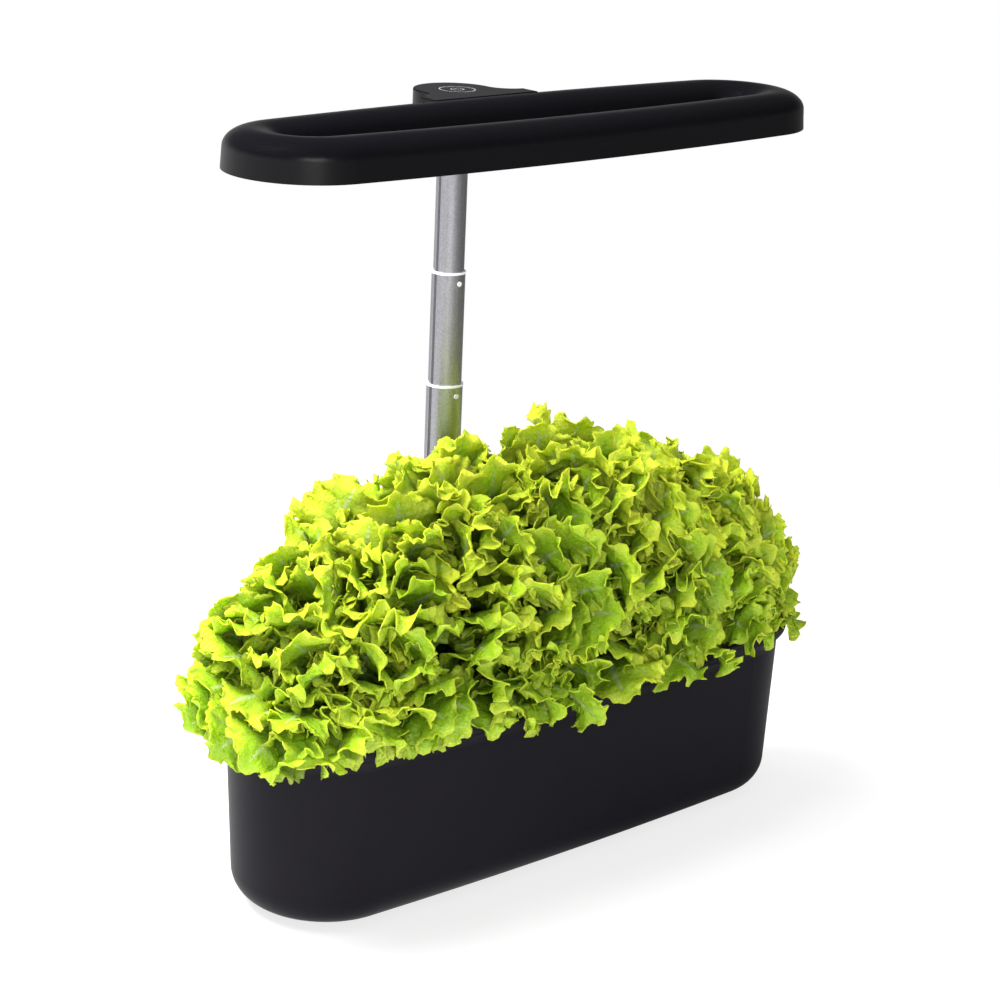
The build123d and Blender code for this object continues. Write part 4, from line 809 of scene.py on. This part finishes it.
class GARDEN_OT_tank(bpy.types.Operator):
    """Finishes the water tank, its feet and the rear housing"""
    bl_idname = "garden.tank"
    bl_label = "Tank and housing"

    def execute(self, context):
        settings = context.scene.garden_plastic
        # Moulded ABS in near black: a satin surface with a fine grain, pale only at grazing angles.
        abs_tank = moulded_plastic("abs_tank", settings.tank_colour, settings.grain, roughness=0.42,
                                   relief=0.25, specular=0.1)
        dress(abs_tank, "water_tank", "rear_housing")
        # Moulded silicone rubber: dull, with no clear highlight.
        rubber = moulded_plastic("silicone_rubber", srgb("#1c1c1c"), settings.grain, roughness=0.85,
                                 relief=0.4, specular=0.1)
        dress(rubber, "rubber_feet", "pump_feet")
        dress(plated_steel(), "housing_screws", "lamp_screws", "pump_shaft")
        # Polished moulding on the power inlet, so that it shines in the matt housing.
        inlet = moulded_plastic("gloss_inlet", srgb("#0c0c0d"), settings.grain, roughness=0.18,
                                relief=0.02, specular=0.5)
        dress(inlet, "dc_inlet")
        dress(circuit_laminate(), "control_board", "touch_board")
        return {"FINISHED"}


class GARDEN_OT_deck(bpy.types.Operator):
    """Finishes the grow deck, its fill cap and the water gauge"""
    bl_idname = "garden.deck"
    bl_label = "Grow deck"

    def execute(self, context):
        settings = context.scene.garden_plastic
        # The tank's ABS and mould finish: satin, with a fine grain.
        abs_deck = moulded_plastic("abs_deck", settings.tank_colour, settings.grain, roughness=0.4,
                                   relief=0.25)
        dress(abs_deck, "grow_deck", "fill_cap")
        # Gloss white ABS, so that the gauge's knob can be read against the black deck.
        white_abs = moulded_plastic("white_abs", srgb("#e4e4e0"), settings.grain, roughness=0.25,
                                    relief=0.03, specular=0.5)
        dress(white_abs, "water_gauge")
        return {"FINISHED"}


class GARDEN_OT_pump(bpy.types.Operator):
    """Finishes the submerged pump"""
    bl_idname = "garden.pump"
    bl_label = "Pump"

    def execute(self, context):
        settings = context.scene.garden_plastic
        # Moulded polypropylene, a little waxier than the tank's ABS.
        case = moulded_plastic("polypropylene_pump", srgb("#202124"), settings.grain, roughness=0.5,
                               relief=0.2)
        dress(case, "pump_housing", "pump_cover")
        # The same in pale grey, so that the wheel is seen through the intake.
        rotor = moulded_plastic("polypropylene_rotor", srgb("#b9bcc2"), settings.grain, roughness=0.45,
                                relief=0.1, specular=0.4)
        dress(rotor, "pump_rotor")
        # Black polyurethane sponge with 1.4 mm pores.
        dress(foam("polyurethane_filter", srgb("#2a2a2d"), 1.4 * MM), "pump_filter")
        return {"FINISHED"}


class GARDEN_OT_pods(bpy.types.Operator):
    """Finishes the eight baskets and their grow sponges"""
    bl_idname = "garden.pods"
    bl_label = "Baskets and sponges"

    def execute(self, context):
        settings = context.scene.garden_plastic
        # Thin moulded polypropylene: black and a little waxy.
        basket = moulded_plastic("polypropylene_basket", srgb("#1a1a1c"), settings.grain, roughness=0.5,
                                 relief=0.15)
        # Bound peat: dark brown and crumbly, with 1.1 mm pores.
        sponge = foam("peat_sponge", srgb("#4a3423"), 1.1 * MM)
        for number in POD_NUMBERS:
            dress(basket, f"basket_{number}")
            dress(sponge, f"sponge_{number}")
        return {"FINISHED"}


class GARDEN_OT_mast(bpy.types.Operator):
    """Finishes the mast's drawn tubes and their white bushes"""
    bl_idname = "garden.mast"
    bl_label = "Telescopic mast"

    def execute(self, context):
        settings = context.scene.garden_mast
        dress(anodised_aluminium(settings.tube_colour, settings.grain), "mast_base_tube", "mast_lower_tube",
              "mast_middle_tube", "mast_top_tube")
        # Moulded acetal: opaque white and a little waxy.
        acetal = moulded_plastic("white_acetal", settings.collar_colour, settings.grain, roughness=0.35,
                                 relief=0.03, specular=0.5)
        dress(acetal, "mast_base_collar", "mast_lower_collar", "mast_middle_collar", "mast_lower_glide",
              "mast_middle_glide", "mast_top_glide")
        return {"FINISHED"}


class GARDEN_OT_lamp(bpy.types.Operator):
    """Finishes the ring lamp and prints its touch mark"""
    bl_idname = "garden.lamp"
    bl_label = "Ring lamp"

    def execute(self, context):
        plastic, settings = context.scene.garden_plastic, context.scene.garden_lamp
        # The tank's ABS from a smoother mould, so its dome carries a longer highlight.
        abs_lamp = moulded_plastic("abs_lamp", plastic.lamp_colour, plastic.grain, roughness=0.3,
                                   relief=0.2, specular=0.22)
        dress(abs_lamp, "lamp_shell", "lamp_bottom_cover", "neck_cover")
        # Frosted acrylic: white and evenly bright, with a soft shine.
        acrylic = moulded_plastic("frosted_acrylic", srgb("#f2f2ec"), plastic.grain, roughness=0.5,
                                  relief=0.05, specular=0.5)
        dress(acrylic, "led_diffuser")
        # White solder mask: smooth lacquer that throws the light back down.
        white_mask = moulded_plastic("white_solder_mask", srgb("#eeeeea"), plastic.grain, roughness=0.3,
                                     relief=0.02, specular=0.5)
        dress(white_mask, "led_board")
        # Silicone with phosphor in it: the yellow face of an unlit white LED.
        phosphor = moulded_plastic("led_phosphor", srgb("#e9d98a"), plastic.grain, roughness=0.3,
                                   relief=0.02, specular=0.5)
        dress(phosphor, "led_chips")
        self.print_mark(settings)
        return {"FINISHED"}

    def print_mark(self, settings):
        """The printed ring with a plain power sign: an arc with a bar in its gap."""
        centre = Vector((0, (MAST_Y - TOUCH_FORWARD) * MM, LAMP_TOP_Z * MM))
        width = settings.line_width
        bm = bmesh.new()
        self.arc(bm, centre, settings.ring_radius, width, 0, 360)
        sign = 0.36 * settings.ring_radius
        half_gap = 32
        self.arc(bm, centre, sign, width, 90 + half_gap, 450 - half_gap)
        bar = bmesh.ops.create_cube(bm, size=1.0)["verts"]
        bmesh.ops.scale(bm, vec=(width, sign, PRINT_THICKNESS), verts=bar)
        bmesh.ops.translate(bm, vec=centre + Vector((0, 0.75 * sign, PRINT_THICKNESS / 2)), verts=bar)
        bmesh.ops.recalc_face_normals(bm, faces=bm.faces)
        # Pad-printed ink: matt pale grey and almost flat.
        ink = moulded_plastic("pad_print_ink", settings.print_colour, 0.5 * MM, roughness=0.6,
                              relief=0.02, specular=0.4)
        new_piece("touch_mark", bm, ink, "lamp")

    def arc(self, bm, centre, radius, width, start, end):
        """A thin printed line bent round a centre, between two angles from +X."""
        before = set(bm.verts)
        inner, outer = radius - width / 2, radius + width / 2
        corners = ((inner, 0), (outer, 0), (outer, PRINT_THICKNESS), (inner, PRINT_THICKNESS))
        profile = [bm.verts.new((r, 0, z)) for r, z in corners]
        edges = [bm.edges.new((profile[i], profile[(i + 1) % 4])) for i in range(4)]
        bmesh.ops.rotate(bm, verts=profile, matrix=Matrix.Rotation(math.radians(start), 3, "Z"))
        full = end - start >= 360
        bmesh.ops.spin(bm, geom=profile + edges, axis=(0, 0, 1), cent=(0, 0, 0),
                       angle=math.radians(end - start), steps=ARC_STEPS, use_merge=full)
        if not full:
            bmesh.ops.holes_fill(bm, edges=[edge for edge in bm.edges if edge.is_boundary], sides=4)
        bmesh.ops.translate(bm, vec=centre, verts=[vert for vert in bm.verts if vert not in before])


class GARDEN_OT_lettuce(bpy.types.Operator):
    """Grows the eight lettuce heads, leaf by leaf"""
    bl_idname = "garden.lettuce"
    bl_label = "Lettuce"

    def execute(self, context):
        settings = context.scene.garden_lettuce
        leaf = lettuce_leaf(settings)
        for number, bm in lettuce_heads(settings).items():
            bmesh.ops.scale(bm, vec=(MM, MM, MM), verts=bm.verts)
            for face in bm.faces:
                face.smooth = True
            head = new_piece(f"leaves_{number}", bm, leaf, f"pod_{number}")
            shell = head.modifiers.new("thickness", "SOLIDIFY")
            shell.thickness = settings.thickness
            shell.offset = 0
            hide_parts(f"lettuce_{number}")
            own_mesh(head)
        return {"FINISHED"}


class GARDEN_PT_panel(bpy.types.Panel):
    """Lists the garden's settings and steps"""
    bl_idname = "GARDEN_PT_panel"
    bl_label = "Hydroponic Garden"
    bl_space_type = "VIEW_3D"
    bl_region_type = "UI"
    bl_category = "Garden"

    def draw(self, context):
        layout = self.layout
        for group in SETTINGS:
            box = layout.box()
            held = getattr(context.scene, group)
            for name in held.__annotations__:
                box.prop(held, name)
        for operator in OPERATORS:
            layout.operator(operator.bl_idname)


SETTINGS = {"garden_stage": StageSettings, "garden_plastic": PlasticSettings, "garden_mast": MastSettings,
            "garden_lamp": LampSettings, "garden_lettuce": LettuceSettings}
OPERATORS = (GARDEN_OT_stage, GARDEN_OT_tank, GARDEN_OT_deck, GARDEN_OT_pump, GARDEN_OT_pods, GARDEN_OT_mast,
             GARDEN_OT_lamp, GARDEN_OT_lettuce)


def register():
    for kind in (*SETTINGS.values(), *OPERATORS, GARDEN_PT_panel):
        bpy.utils.register_class(kind)
    for name, group in SETTINGS.items():
        setattr(bpy.types.Scene, name, PointerProperty(type=group))


def unregister():
    for name in SETTINGS:
        delattr(bpy.types.Scene, name)
    for kind in reversed((*SETTINGS.values(), *OPERATORS, GARDEN_PT_panel)):
        bpy.utils.unregister_class(kind)


def main():
    """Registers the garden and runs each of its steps."""
    register()
    for operator in OPERATORS:
        group, name = operator.bl_idname.split(".")
        getattr(getattr(bpy.ops, group), name)()


if __name__ == "__main__":
    main()
